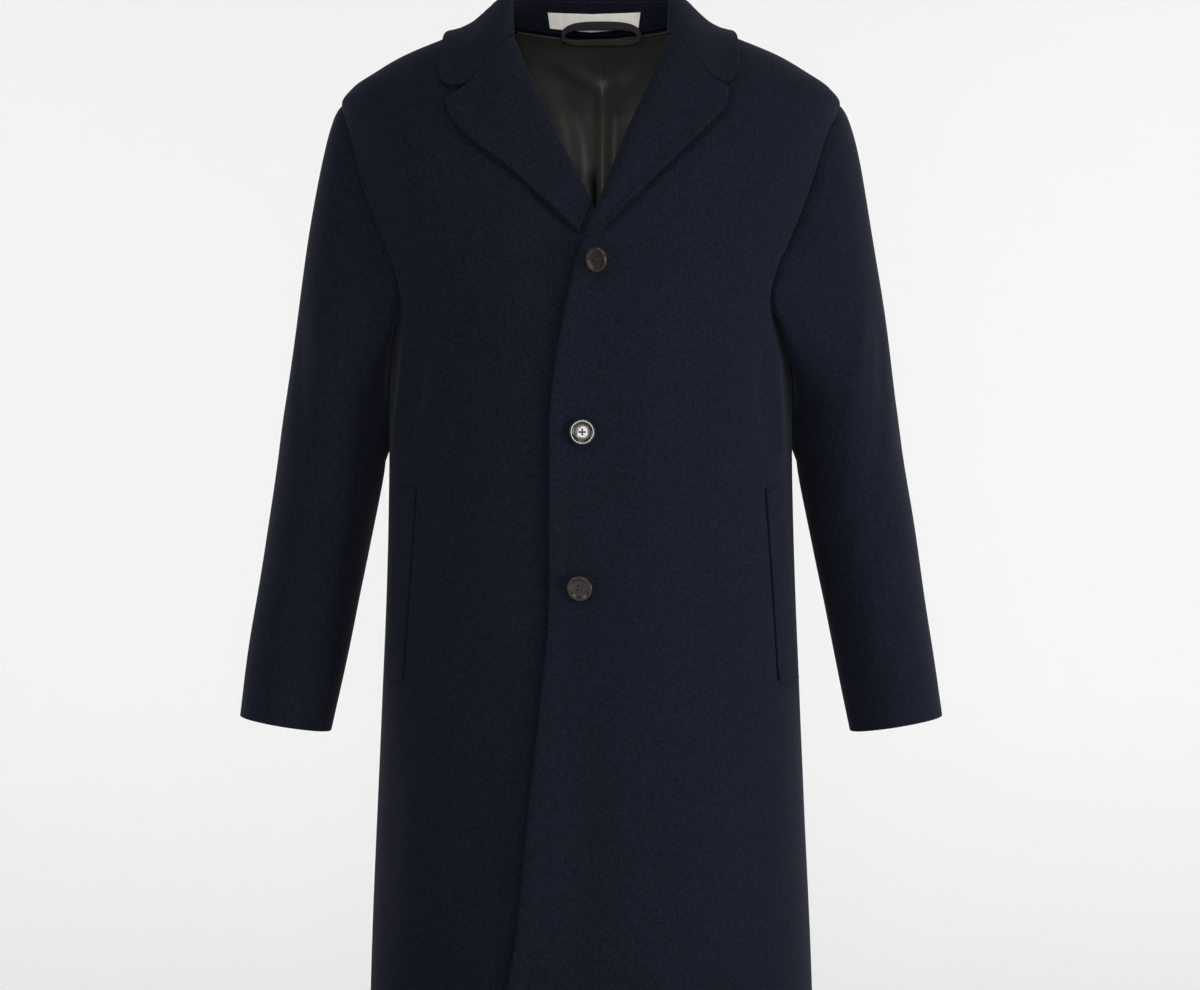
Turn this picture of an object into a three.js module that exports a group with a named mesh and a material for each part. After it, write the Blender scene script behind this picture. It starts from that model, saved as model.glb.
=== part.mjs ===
// A men's knee-length wool overcoat, filled out as if worn, with nothing inside it.
//
// Millimetres, +Z up. The origin is where the shoulders carry the coat: on the centre plane,
// level with the side of the neck. The fronts face -Y, and +X is the wearer's left.
//
// Every cloth piece is a wall between two grids of points. The panels follow one body form,
// whose level sections are flattened ellipses, and whatever lies on a panel is placed on the
// same form and moved out. Pieces that are sewn edge to edge share the points of their seam.
import * as THREE from "three";

// ---------------------------------------------------------------- driving dimensions

const WALL = 2.4; // melton cloth with its canvas
const SEAM = 0.3; // gap between two sewn edges
const LAP = 4; // how far the left front stands over the right one
const LIE = 0.9; // gap under a piece that lies flat on a panel
const HEM_Z = -1012;
const BREAK_Z = -245; // where the lapels start to roll, at the first button
const ROUNDNESS = 2.4; // exponent of the body sections: 2 is an ellipse, more is squarer

const BUTTON_DIAMETER = 25.4; // 40 ligne
const BUTTON_THICKNESS = 4.2;
const BUTTON_SHANK = 2.5;
const BUTTON_HOLE = 2.2;
const BUTTON_SEAT = 0.5; // gap under the button

// Level sections of the body: half-width, and depth of the front and back from the centre
// plane. Above the armholes the half-width is the shoulder line's.
const BODY = [
  { z: -1012, half: 226.6, front: 158, back: 152 },
  { z: -945, half: 224.5, front: 156, back: 149 },
  { z: -822, half: 219.6, front: 152, back: 143 },
  { z: -698, half: 214.2, front: 148, back: 136 },
  { z: -606, half: 210, front: 146, back: 131 },
  { z: -544, half: 208, front: 146, back: 128 },
  { z: -451, half: 206, front: 146, back: 127 },
  { z: -400, half: 204, front: 146, back: 129 },
  { z: -330, half: 204, front: 146, back: 133 },
  { z: -280, half: 213, front: 143, back: 136 },
  { z: -230, half: 228, front: 137, back: 137 },
  { z: -190, half: 241, front: 131, back: 135 },
  { z: -150, half: 250, front: 123, back: 130 },
  { z: -96, half: 256, front: 106, back: 119 },
  { z: -80, half: 245, front: 100, back: 113 },
  { z: -65, half: 223.5, front: 92, back: 106 },
  { z: -49, half: 197, front: 82, back: 98 },
  { z: -27, half: 146, front: 63, back: 82 },
  { z: -17, half: 123, front: 53, back: 72 },
  { z: -8, half: 100, front: 42, back: 60 },
  { z: -3, half: 88, front: 34, back: 54 },
  { z: 6, half: 70, front: 22, back: 46 },
  { z: 14, half: 60, front: 17, back: 41 },
  { z: 60, half: 52, front: 14, back: 36 },
];

// The armhole, from the shoulder point down to the side seam, as bearings from the side of
// the body: forwards on the wearer's left and right, and backwards on both.
const ARMHOLE = [
  { z: -96, left: 0, right: 0, back: 0 },
  { z: -107, left: 5.5, right: 4.5, back: 6 },
  { z: -130, left: 11, right: 8.5, back: 12 },
  { z: -165, left: 14.5, right: 10.5, back: 16 },
  { z: -205, left: 17.5, right: 13, back: 18.5 },
  { z: -240, left: 20.5, right: 16, back: 20.5 },
  { z: -270, left: 24, right: 19, back: 22.5 },
  { z: -295, left: 25.5, right: 20, back: 22 },
  { z: -316, left: 22, right: 17, back: 17 },
  { z: -329, left: 12, right: 9, back: 9 },
  { z: -334, left: 0, right: 0, back: 0 },
];

// The inner boundary of each front, from the hem up: edge, roll line and neck seam.
const LEFT_FRONT_EDGE = [
  { x: -86, z: -1012 },
  { x: -72, z: -926 },
  { x: -60, z: -803 },
  { x: -48, z: -690 },
  { x: -41, z: -600 },
  { x: -40.6, z: -433 },
  { x: -37, z: -387 },
  { x: -20, z: -289 },
  { x: -7.5, z: BREAK_Z },
  { x: 6.3, z: -207.5 },
  { x: 35, z: -134.5 },
  { x: 63, z: -71 },
  { x: 77, z: -33 },
];
const RIGHT_FRONT_EDGE = [
  { x: 10, z: -1012 },
  { x: 20, z: -803 },
  { x: 24, z: -600 },
  { x: 24, z: -433 },
  { x: 20, z: -300 },
  { x: 12, z: BREAK_Z },
  { x: -2, z: -207.5 },
  { x: -37, z: -128 },
  { x: -64, z: -68 },
  { x: -77, z: -33 },
];
const NECK_SIDE_Z = -3;
const NECK_BACK_Z = -18;

// Lapels, each from the break up: roll line, outer edge, then gorge seam out to the tip.
const LAPELS = {
  left: {
    side: 1,
    roll: [[-6.5, -243], [7, -207.5], [35.5, -134.5], [63.5, -71], [77, -34]],
    outer: [[7, -240.5], [27, -218.5], [73, -171], [117, -127.5], [134, -107.5], [136.5, -90]],
    gorge: [[77, -34], [90, -43.5], [106, -62.5], [123, -82], [136.5, -90]],
  },
  right: {
    side: -1,
    roll: [[-4, -208], [-20, -169], [-38, -128], [-64.5, -68], [-77, -34]],
    outer: [[-10.5, -238], [-38.5, -211.5], [-85, -169], [-119, -143], [-140, -119], [-145, -103]],
    gorge: [[-77, -34], [-90, -47], [-107, -66.5], [-124, -85], [-145, -103]],
  },
};
const ROLL_HEIGHT = 2.6; // how far a lapel stands off behind its roll

// The collar's left half, from the gorge round to the centre back: fold and outer edge.
const COLLAR_FOLD = [
  { x: 77.5, y: -64, z: -31 },
  { x: 80, y: -38, z: -3 },
  { x: 83, y: -4, z: 21 },
  { x: 68, y: 38, z: 29 },
  { x: 38, y: 64, z: 34 },
  { x: 0, y: 72, z: 36 },
];
const COLLAR_EDGE = [
  { x: 146, y: -84, z: -79 },
  { x: 149, y: -58, z: -50 },
  { x: 144, y: -4, z: -24 },
  { x: 122, y: 58, z: -34 },
  { x: 64, y: 90, z: -38 },
  { x: 0, y: 96, z: -39 },
];
const COLLAR_BACK = [[72, 36], [83, 22], [91, -8], [96, -39]]; // y and z down the centre back
const COLLAR_GORGE = [[77.5, -31], [90, -40], [106, -58], [122, -77], [146, -79]];

// The sleeve's axis and its half-sizes across and front to back, on the wearer's left.
const SLEEVE = [
  { x: 262.5, y: 4, z: -420, across: 53.5, deep: 76 },
  { x: 267, y: 5, z: -460, across: 54.5, deep: 73 },
  { x: 281, y: 3, z: -544, across: 53.3, deep: 68 },
  { x: 291.5, y: -3, z: -606, across: 51.5, deep: 63 },
  { x: 302, y: -13, z: -668, across: 50, deep: 58 },
  { x: 312, y: -25, z: -731, across: 47.6, deep: 53 },
];
const SLEEVE_LEAN = 9.5; // degrees that the cuff's plane tips down towards the body
const SLEEVE_CLEAR = 2.6; // gap between a hanging sleeve and the side of the coat

const WELT = { topX: 175, topZ: -491, bottomX: 187, bottomZ: -684, topWidth: 19, bottomWidth: 21 };
const LABEL = { left: -43, right: 49, bottom: -13, top: 4, thickness: 0.7 };
const LOOP = { left: -30, right: 51, z: -18, rise: 13, sag: 7, halfWidth: 3, halfDepth: 1 };
const LINING = {
  gap: 3, seamGap: 2.7, thickness: 1, bottomZ: -300, halfAngle: 55, pleatAt: 12, pleatDepth: 5,
};

const BUTTONS = [
  { name: "button_top", x: 7, z: -267 },
  { name: "button_middle", x: -8.2, z: -435.6 },
  { name: "button_bottom", x: -10, z: -588.7 },
];

const MELTON = { color: 0x1d2029, roughness: 0.95, metalness: 0 };
const SATIN = { color: 0x4a4a44, roughness: 0.45, metalness: 0 };
const HORN = { color: 0x2c2119, roughness: 0.3, metalness: 0 };
const WOVEN_LABEL = { color: 0xe9e6dc, roughness: 0.8, metalness: 0 };

// ---------------------------------------------------------------- curves and tables

const radians = THREE.MathUtils.degToRad;
const { lerp, smoothstep } = THREE.MathUtils;
const vec = (x, y, z) => new THREE.Vector3(x, y, z);

/** A smooth curve of one column of a table over another, with no overshoot between rows. */
function column(rows, key, over = "z") {
  const sorted = [...rows].sort((p, q) => p[over] - q[over]);
  const at = sorted.map((row) => row[over]);
  const value = sorted.map((row) => row[key]);
  const last = at.length - 1;
  const slope = at.slice(1).map((s, i) => (value[i + 1] - value[i]) / (s - at[i]));
  const tangent = at.map((_, i) => {
    if (i === 0) return slope[0];
    if (i === last) return slope[last - 1];
    const product = slope[i - 1] * slope[i];
    return product <= 0 ? 0 : (2 * product) / (slope[i - 1] + slope[i]);
  });
  return (s) => {
    if (s <= at[0]) return value[0] + tangent[0] * (s - at[0]);
    if (s >= at[last]) return value[last] + tangent[last] * (s - at[last]);
    const i = at.findIndex((edge) => edge > s) - 1;
    const h = at[i + 1] - at[i];
    const t = (s - at[i]) / h;
    const rise = t * t * (3 - 2 * t);
    const ease = t * (1 - t) * (1 - t) * tangent[i] - t * t * (1 - t) * tangent[i + 1];
    return lerp(value[i], value[i + 1], rise) + h * ease;
  };
}

/** A smooth curve through points, taking 0 to 1 by length. */
function through(points) {
  const curve = new THREE.CatmullRomCurve3(points, false, "centripetal");
  return (t) => curve.getPointAt(t);
}

// ---------------------------------------------------------------- body form

const halfWidth = column(BODY, "half");
const frontDepth = column(BODY, "front");
const backDepth = column(BODY, "back");

/** How far a point is out from the body form: 1 on it, more outside. */
function outness({ x, y, z }) {
  const across = Math.abs(x) / halfWidth(z);
  const deep = Math.abs(y) / (y < 0 ? frontDepth(z) : backDepth(z));
  return (across ** ROUNDNESS + deep ** ROUNDNESS) ** (1 / ROUNDNESS);
}

/** Direction out of the form at a point, and the distance to the form. */
function outward(point) {
  const step = 0.5;
  const here = outness(point);
  const slope = vec(0, 0, 0);
  for (const axis of ["x", "y", "z"]) {
    const ahead = point.clone();
    ahead[axis] += step;
    const behind = point.clone();
    behind[axis] -= step;
    slope[axis] = (outness(ahead) - outness(behind)) / (2 * step);
  }
  const steep = slope.length();
  return { normal: slope.divideScalar(steep), distance: (here - 1) / steep };
}

/** The point moved to a distance outside the form, negative being inside. */
function atDistance(point, distance) {
  const moved = point.clone();
  for (let pass = 0; pass < 4; pass += 1) {
    const { normal, distance: now } = outward(moved);
    moved.addScaledVector(normal, distance - now);
  }
  return moved;
}

/** The point moved out only as far as it needs to clear the form, with a soft change. */
function clearOf(point, distance, softness = 3) {
  const now = outward(point).distance;
  const spare = now - distance;
  return atDistance(point, distance + (spare + Math.hypot(spare, softness)) / 2);
}

/** A point of the form at a bearing from +X, in degrees towards the back, and a height. */
function onForm(bearing, z) {
  const angle = radians(bearing);
  const direction = vec(Math.cos(angle), Math.sin(angle), 0);
  const reach = 1 / outness(vec(direction.x, direction.y, z));
  return vec(direction.x * reach, direction.y * reach, z);
}

/** A point on the front of the form, straight in from x and z. */
function onFront(x, z) {
  const inside = 1 - (Math.abs(x) / halfWidth(z)) ** ROUNDNESS;
  return vec(x, -frontDepth(z) * Math.max(inside, 1e-6) ** (1 / ROUNDNESS), z);
}

/** How far the left front stands off the form, where it lies over the right one. */
function lapHeight({ x, z }) {
  return LAP * (1 - smoothstep(x, 32, 105)) * (1 - smoothstep(z, -205, -150));
}

// ---------------------------------------------------------------- walls

/** Grid of points, rows by v and columns by u, both from 0 to 1. */
function grid(columns, rows, place) {
  return Array.from({ length: rows + 1 }, (_, j) =>
    Array.from({ length: columns + 1 }, (_, i) => place(i / columns, j / rows)));
}

/** The grid with its four edges drawn in by half a seam's gap. */
function drawnIn(points, gap = SEAM / 2) {
  const lastRow = points.length - 1;
  const lastColumn = points[0].length - 1;
  const moved = points.map((row) => row.map((p) => p.clone()));
  const pull = (j, i, dj, di) => {
    const inner = points[j + dj][i + di].clone().sub(points[j][i]);
    if (inner.length() > 1e-6) moved[j][i].add(inner.setLength(gap));
  };
  for (let i = 0; i <= lastColumn; i += 1) {
    pull(0, i, 1, 0);
    pull(lastRow, i, -1, 0);
  }
  for (let j = 0; j <= lastRow; j += 1) {
    pull(j, 0, 0, 1);
    pull(j, lastColumn, 0, -1);
  }
  return moved;
}

/** Unit normals of a grid of points, one at each point. */
function gridNormals(points) {
  const lastRow = points.length - 1;
  const lastColumn = points[0].length - 1;
  return points.map((row, j) => row.map((_, i) => {
    const along = points[j][Math.min(i + 1, lastColumn)].clone()
      .sub(points[j][Math.max(i - 1, 0)]);
    const up = points[Math.min(j + 1, lastRow)][i].clone()
      .sub(points[Math.max(j - 1, 0)][i]);
    return along.cross(up).normalize();
  }));
}

/** One closed wall between two grids of the same size. */
function wall(name, finish, outer, inner) {
  const rows = outer.length;
  const columns = outer[0].length;
  const points = [...outer.flat(), ...inner.flat()];
  const layer = rows * columns;
  const faces = [];
  const quad = (a, b, c, d) => faces.push(a, b, c, a, c, d);
  for (let j = 0; j < rows - 1; j += 1) {
    for (let i = 0; i < columns - 1; i += 1) {
      const p = j * columns + i;
      const q = p + layer;
      quad(p, p + 1, p + 1 + columns, p + columns);
      quad(q, q + columns, q + 1 + columns, q + 1);
    }
  }
  const rim = [];
  for (let i = 0; i < columns - 1; i += 1) rim.push(i);
  for (let j = 0; j < rows - 1; j += 1) rim.push(j * columns + columns - 1);
  for (let i = columns - 1; i > 0; i -= 1) rim.push((rows - 1) * columns + i);
  for (let j = rows - 1; j > 0; j -= 1) rim.push(j * columns);
  rim.forEach((p, k) => {
    const next = rim[(k + 1) % rim.length];
    quad(p, p + layer, next + layer, next);
  });
  return solid(name, finish, points, faces);
}

/** A closed tube: rings of points, joined end to start. */
function closedTube(name, finish, rings) {
  const count = rings[0].length;
  const faces = [];
  rings.forEach((_, k) => {
    const next = (k + 1) % rings.length;
    for (let i = 0; i < count; i += 1) {
      const j = (i + 1) % count;
      const [a, b, c, d] = [k * count + i, k * count + j, next * count + j, next * count + i];
      faces.push(a, b, c, a, c, d);
    }
  });
  return solid(name, finish, rings.flat(), faces);
}

/** A mesh from points and faces, turned inside out if its faces point in. */
function solid(name, finish, points, faces) {
  let volume = 0;
  for (let k = 0; k < faces.length; k += 3) {
    const [a, b, c] = [points[faces[k]], points[faces[k + 1]], points[faces[k + 2]]];
    volume += a.dot(b.clone().cross(c));
  }
  const index = volume < 0 ? faces.reverse() : faces;
  const geometry = new THREE.BufferGeometry().setFromPoints(points);
  geometry.setIndex(index);
  geometry.computeVertexNormals();
  const mesh = new THREE.Mesh(geometry, new THREE.MeshStandardMaterial(finish));
  mesh.name = name;
  return mesh;
}

/** A patch whose inside is blended from its four edges, each a function of 0 to 1. */
function patch(bottom, top, left, right) {
  const corners = [left(0), right(0), left(1), right(1)];
  return (u, v) => {
    const sides = left(v).multiplyScalar(1 - u).add(right(v).multiplyScalar(u));
    const ends = bottom(u).multiplyScalar(1 - v).add(top(u).multiplyScalar(v));
    const low = corners[0].clone().lerp(corners[1], u);
    const high = corners[2].clone().lerp(corners[3], u);
    return sides.add(ends).sub(low.lerp(high, v));
  };
}

// ---------------------------------------------------------------- fronts and backs

const PANEL_COLUMNS = 10;
const SKIRT_ROWS = 9; // hem to the bottom of the armhole
const ARMHOLE_ROWS = ARMHOLE.length - 1;
const ARMHOLE_SPLIT = SKIRT_ROWS / (SKIRT_ROWS + ARMHOLE_ROWS);
const UNDERARM_Z = ARMHOLE.at(-1).z;
const SHOULDER_Z = ARMHOLE[0].z;
const BACK_SEAM_SHARE = 0.6; // of the armhole's rows, those beside the back seam

/** Bearing and height on the armhole, from the side seam (0) up to the shoulder (1). */
function armholeAt(t, key) {
  const row = (1 - t) * ARMHOLE_ROWS;
  const low = Math.min(Math.floor(row), ARMHOLE_ROWS - 1);
  const pick = (column) => lerp(ARMHOLE[low][column], ARMHOLE[low + 1][column], row - low);
  return { bearing: pick(key), z: pick("z") };
}

/** The side edge of a panel in bearing and height: side seam, then armhole. */
function sideEdge(key) {
  return (v) => {
    if (v <= ARMHOLE_SPLIT) return vec(0, 0, lerp(HEM_Z, UNDERARM_Z, v / ARMHOLE_SPLIT));
    const { bearing, z } = armholeAt((v - ARMHOLE_SPLIT) / (1 - ARMHOLE_SPLIT), key);
    return vec(bearing, 0, z);
  };
}

/** The neck seam's height at a bearing from the side of the neck, back or front. */
function neckZ(bearing) {
  const deepest = bearing < 0 ? 33 : -NECK_BACK_Z;
  const reach = bearing < 0 ? 38.5 : 90;
  const turn = Math.min(Math.abs(bearing) / reach, 1);
  return NECK_SIDE_Z - (deepest + NECK_SIDE_Z) * turn ** (bearing < 0 ? 1.5 : 0.6);
}

/** The back neck seam at a bearing, on the straight edges between the panels' rows. */
function backNeck(bearing) {
  const step = 90 / (ARMHOLE_ROWS * (1 - BACK_SEAM_SHARE));
  const low = Math.min(Math.floor(bearing / step), 90 / step - 1) * step;
  const end = (at) => onForm(at, neckZ(at));
  return end(low).lerp(end(low + step), (bearing - low) / step);
}

/** The inner edge of a front in bearing and height, from the hem to the side of the neck. */
function frontEdge(rows) {
  const path = rows.map(({ x, z }) => {
    const p = onFront(Math.abs(x), z);
    const bearing = Math.atan2(Math.abs(p.y), x * Math.sign(rows.at(-1).x));
    return vec(THREE.MathUtils.radToDeg(bearing), 0, z);
  });
  for (const bearing of [-26, -13, 0]) path.push(vec(-bearing, 0, neckZ(bearing)));
  const heights = path.map(({ x, z }, k) => ({ k, x, z }));
  const bearingAt = column(heights, "x");
  const skirtTop = ARMHOLE_SPLIT;
  return (v) => {
    const rise = (v - skirtTop) / (1 - skirtTop);
    const z = v <= skirtTop
      ? lerp(HEM_Z, UNDERARM_Z, v / skirtTop)
      : lerp(UNDERARM_Z, NECK_SIDE_Z, 1 - (1 - rise) ** 1.35);
    return vec(bearingAt(z), 0, z);
  };
}

/** A body panel from its inner edge and armhole, on one side and facing front or back. */
function panel(name, inner, key, side, face, height) {
  const outerEdge = sideEdge(key);
  const hem = (u) => vec(lerp(inner(0).x, 0, u), 0, HEM_Z);
  const shoulder = (u) => vec(0, 0, lerp(NECK_SIDE_Z, SHOULDER_Z, u));
  const place = patch(hem, shoulder, inner, outerEdge);
  const surface = grid(PANEL_COLUMNS, SKIRT_ROWS + ARMHOLE_ROWS, (u, v) => {
    const { x: bearing, z } = place(u, v);
    const p = onForm(face * bearing, z);
    return vec(side * p.x, p.y, p.z);
  });
  const outer = surface.map((row) => row.map((p) => atDistance(p, height(p))));
  const backed = surface.map((row) => row.map((p) => atDistance(p, height(p) - WALL)));
  return wall(name, MELTON, drawnIn(outer), drawnIn(backed));
}

/** The centre back seam and back neck, from the hem to the side of the neck. */
function backEdge(v) {
  const rise = Math.max(0, (v - ARMHOLE_SPLIT) / (1 - ARMHOLE_SPLIT));
  const turn = Math.max(0, (rise - BACK_SEAM_SHARE) / (1 - BACK_SEAM_SHARE));
  if (turn > 0) return vec(90 * (1 - turn), 0, neckZ(90 * (1 - turn)));
  const z = v <= ARMHOLE_SPLIT
    ? lerp(HEM_Z, UNDERARM_Z, v / ARMHOLE_SPLIT)
    : lerp(UNDERARM_Z, NECK_BACK_Z, rise / BACK_SEAM_SHARE);
  return vec(90, 0, z);
}

function bodyPanels() {
  const flat = () => 0;
  return [
    panel("front_left", frontEdge(LEFT_FRONT_EDGE), "left", 1, -1, lapHeight),
    panel("front_right", frontEdge(RIGHT_FRONT_EDGE), "right", -1, -1, flat),
    panel("back_left", backEdge, "back", 1, 1, flat),
    panel("back_right", backEdge, "back", -1, 1, flat),
  ];
}

// ---------------------------------------------------------------- sleeves

const RING = 2 * ARMHOLE_ROWS; // points round a sleeve
const CAP_STEPS = [0, 0.12, 0.28, 0.5, 0.76, 1]; // from the armhole to the upper arm
const FRONT_SEAM = 8; // points round from the top of the arm, over the front
const BACK_SEAM = 14;

/** One ring of a sleeve below the armhole, from the top of the arm over the front. */
function armRing({ x, y, z, across, deep }) {
  const lean = radians(SLEEVE_LEAN);
  return Array.from({ length: RING }, (_, k) => {
    const turn = (2 * Math.PI * k) / RING;
    const out = across * Math.cos(turn);
    return vec(x + out * Math.cos(lean), y - deep * Math.sin(turn), z + out * Math.sin(lean));
  });
}

/** The sleeve's first ring, along the armhole and just outside it. */
function armholeRing(key) {
  return Array.from({ length: RING }, (_, k) => {
    const front = k <= ARMHOLE_ROWS;
    const row = ARMHOLE[front ? k : RING - k];
    const bearing = front ? -row[key] : row.back;
    return atDistance(onForm(bearing, row.z), LIE);
  });
}

/** A point of the sleeve cap, on a curve that leaves the armhole outwards and turns down. */
function capPoint(start, end, turn, t) {
  const reach = start.distanceTo(end);
  const leave = vec(39 + 31 * Math.cos(turn), -42 * Math.sin(turn), -50);
  const arrive = vec(0.14, 0, -1).multiplyScalar(reach);
  const rest = 1 - t;
  return start.clone().multiplyScalar((1 + 2 * t) * rest * rest)
    .addScaledVector(leave, t * rest * rest)
    .addScaledVector(end, t * t * (3 - 2 * t))
    .addScaledVector(arrive, -t * t * rest);
}

/** All rings of the left sleeve's shape, or of the right one's before it is mirrored. */
function sleeveRings(key) {
  const first = armholeRing(key);
  const upper = armRing(SLEEVE[0]);
  const cap = CAP_STEPS.map((t) => first.map((start, k) => {
    const point = capPoint(start, upper[k], (2 * Math.PI * k) / RING, t);
    return t === 0 ? start : clearOf(point, SLEEVE_CLEAR);
  }));
  const arm = SLEEVE.slice(1).map((row) => armRing(row).map((p) => clearOf(p, SLEEVE_CLEAR)));
  return [...cap, ...arm];
}

/** Top sleeve and under sleeve of one arm, walls between the rings and a step inside them. */
function sleevePieces(key, side) {
  const rings = sleeveRings(key).map((ring) => ring.map((p) => vec(side * p.x, p.y, p.z)));
  const wrapped = rings.map((ring) => [ring.at(-1), ...ring, ring[0]]);
  const exact = gridNormals(wrapped).map((row) => row.slice(1, -1));
  const normals = exact.map((row) => row.map((n, k) =>
    n.clone().multiplyScalar(2).add(row.at(k - 1)).add(row[(k + 1) % RING]).normalize()));
  const facing = side * Math.sign(normals[2][0].x);
  const inside = rings.map((ring, j) => ring.map((p, k) =>
    p.clone().addScaledVector(normals[j][k], -facing * WALL)));
  const cut = (from, to) => [rings, inside].map((layer) => drawnIn(layer.map((ring) =>
    Array.from({ length: to - from + 1 }, (_, k) => ring[(from + k) % RING])), SEAM));
  return [
    wall(`sleeve_${key}_top`, MELTON, ...cut(BACK_SEAM, RING + FRONT_SEAM)),
    wall(`sleeve_${key}_under`, MELTON, ...cut(FRONT_SEAM, BACK_SEAM)),
  ];
}

// ---------------------------------------------------------------- lapels

/** A smooth curve through pairs of x and z. */
const flatCurve = (pairs) => through(pairs.map(([x, z]) => vec(x, 0, z)));

/** How far a turned-back piece stands off, from its fold (0) to its edge (1). */
const rollShape = (u) => ROLL_HEIGHT * Math.sin(Math.PI * Math.sqrt(u));

function lapel(key) {
  const { roll, outer, gorge } = LAPELS[key];
  const [rollAt, outerAt, gorgeAt] = [roll, outer, gorge].map(flatCurve);
  const foot = (u) => rollAt(0).lerp(outerAt(0), u);
  const place = patch(foot, gorgeAt, rollAt, outerAt);
  const layer = (lift) => drawnIn(grid(5, 11, (u, v) => {
    const { x, z } = place(u, v);
    const base = onFront(x, z);
    const lap = key === "left" ? lapHeight(base) : 0;
    return atDistance(base, lap + LIE + rollShape(u) * Math.min(1, 4 * v) + lift);
  }));
  return wall(`lapel_${key}`, MELTON, layer(WALL), layer(0));
}

// ---------------------------------------------------------------- collar

const COLLAR_COLUMNS = 20;
const STAND_FRONT = 0; // bearing where the stand starts, at the shoulder seam
const NECK_FRONT = -38.5; // bearing where the neck seam meets the gorge

const foldCurve = through(COLLAR_FOLD.map(({ x, y, z }) => vec(x, y, z)));
const edgeCurve = through(COLLAR_EDGE.map(({ x, y, z }) => vec(x, y, z)));

/** The fall's outer face over one half, from the front (0) to the centre back (1). */
function fallPlace() {
  const gorge = flatCurve(COLLAR_GORGE);
  const gorgeEdge = (t) => {
    const { x, z } = gorge(t);
    return atDistance(onFront(x, z), LIE + WALL + rollShape(t));
  };
  const back = through(COLLAR_BACK.map(([y, z]) => vec(0, y, z)));
  return patch(gorgeEdge, back, foldCurve, edgeCurve);
}

/** The collar's fall, one piece all round. */
function collarFall() {
  const place = fallPlace();
  const face = grid(COLLAR_COLUMNS, 6, (u, t) => {
    const s = 2 * u - 1;
    const p = clearOf(place(t, 1 - Math.abs(s)), LIE + WALL, 2);
    return vec(Math.sign(s || 1) * p.x, p.y, p.z);
  });
  const normals = gridNormals(face);
  const up = Math.sign(normals[0][COLLAR_COLUMNS / 2].z);
  const under = face.map((row, j) => row.map((p, i) =>
    clearOf(p.clone().addScaledVector(normals[j][i], -up * WALL), LIE, 1)));
  return wall("collar_fall", MELTON, drawnIn(face), drawnIn(under));
}

/** A point of the stand's outer face: around (-1 to 1, centre back at 0) and up (0 to 1). */
function standPoint(around, up, inwards) {
  const bearing = lerp(90, STAND_FRONT, Math.abs(around));
  const seam = backNeck(bearing);
  const fold = foldCurve((bearing - NECK_FRONT) / (90 - NECK_FRONT));
  seam.z += 2 * SEAM;
  fold.z -= WALL + 1.6;
  const p = seam.lerp(fold, up);
  const toAxis = vec(-p.x, -p.y, 0).normalize();
  p.addScaledVector(toAxis, SEAM + 0.4 + inwards);
  return vec(Math.sign(around || 1) * p.x, p.y, p.z);
}

function collarStand() {
  const layer = (inwards) =>
    drawnIn(grid(18, 3, (u, v) => standPoint(2 * u - 1, v, inwards)));
  return wall("collar_stand", MELTON, layer(0), layer(WALL));
}

// ---------------------------------------------------------------- inside back neck

/** The lining that shows below the collar, with a pleat in the middle for ease. */
function backLining() {
  const { gap, seamGap, thickness, bottomZ, halfAngle, pleatAt, pleatDepth } = LINING;
  const pleatBearing = 90 - 0.46 * pleatAt;
  const near = [-1, -0.75, -0.5, -0.27, -0.13, -0.05, 0, 0.05, 0.13, 0.3, 0.5, 0.75, 1];
  const layer = (depth) => drawnIn(grid(near.length - 1, 8, (u, v) => {
    const bearing = pleatBearing + near[Math.round(u * (near.length - 1))] * halfAngle;
    const top = backNeck(Math.min(bearing, 180 - bearing)).z - 2;
    const p = onForm(bearing, lerp(bottomZ, top, v));
    const off = (p.x - pleatAt) / 5;
    const pleat = pleatDepth * Math.exp(-off * off) * (1 - smoothstep(p.z, -150, -60));
    const slack = lerp(gap, seamGap, smoothstep(v, 0.9, 1));
    return atDistance(p, -WALL - slack - pleat - depth);
  }));
  return wall("lining_back", SATIN, layer(0), layer(thickness));
}

/** The bare woven label on the stand's inner face. */
function neckLabel() {
  const { left, right, bottom, top, thickness } = LABEL;
  const layer = (depth) => drawnIn(grid(8, 2, (u, v) => {
    const x = lerp(left, right, u);
    const around = x / 92;
    const p = standPoint(around, lerp(bottom, top, v) / 44 + 0.41, WALL + 1.1 + depth);
    return p;
  }), 0.1);
  return wall("neck_label", WOVEN_LABEL, layer(0), layer(thickness));
}

/** The hanger loop, a flat satin band: an arch, and the band below that it springs from. */
function hangerLoop() {
  const { left, right, z, rise, sag, halfWidth, halfDepth } = LOOP;
  const steps = 20;
  const rings = Array.from({ length: steps }, (_, k) => {
    const turn = (2 * Math.PI * k) / steps;
    const [c, s] = [Math.cos(turn), Math.sin(turn)];
    const high = s > 0 ? rise : sag;
    const x = (left + right) / 2 + ((right - left) / 2) * c;
    const y = onForm(90 - 0.66 * x, z).y - 13.4 - 1.2 * Math.abs(s);
    const normal = vec(high * c, 0, ((right - left) / 2) * s).normalize();
    const reach = 1 + (halfWidth - 1) * Math.abs(s);
    const middle = vec(x, y, z + high * s);
    return [[1, 1], [1, -1], [-1, -1], [-1, 1]].map(([a, b]) =>
      middle.clone().addScaledVector(normal, a * reach).add(vec(0, b * halfDepth, 0)));
  });
  return closedTube("hanger_loop", SATIN, rings);
}

// ---------------------------------------------------------------- pockets and buttons

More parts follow.
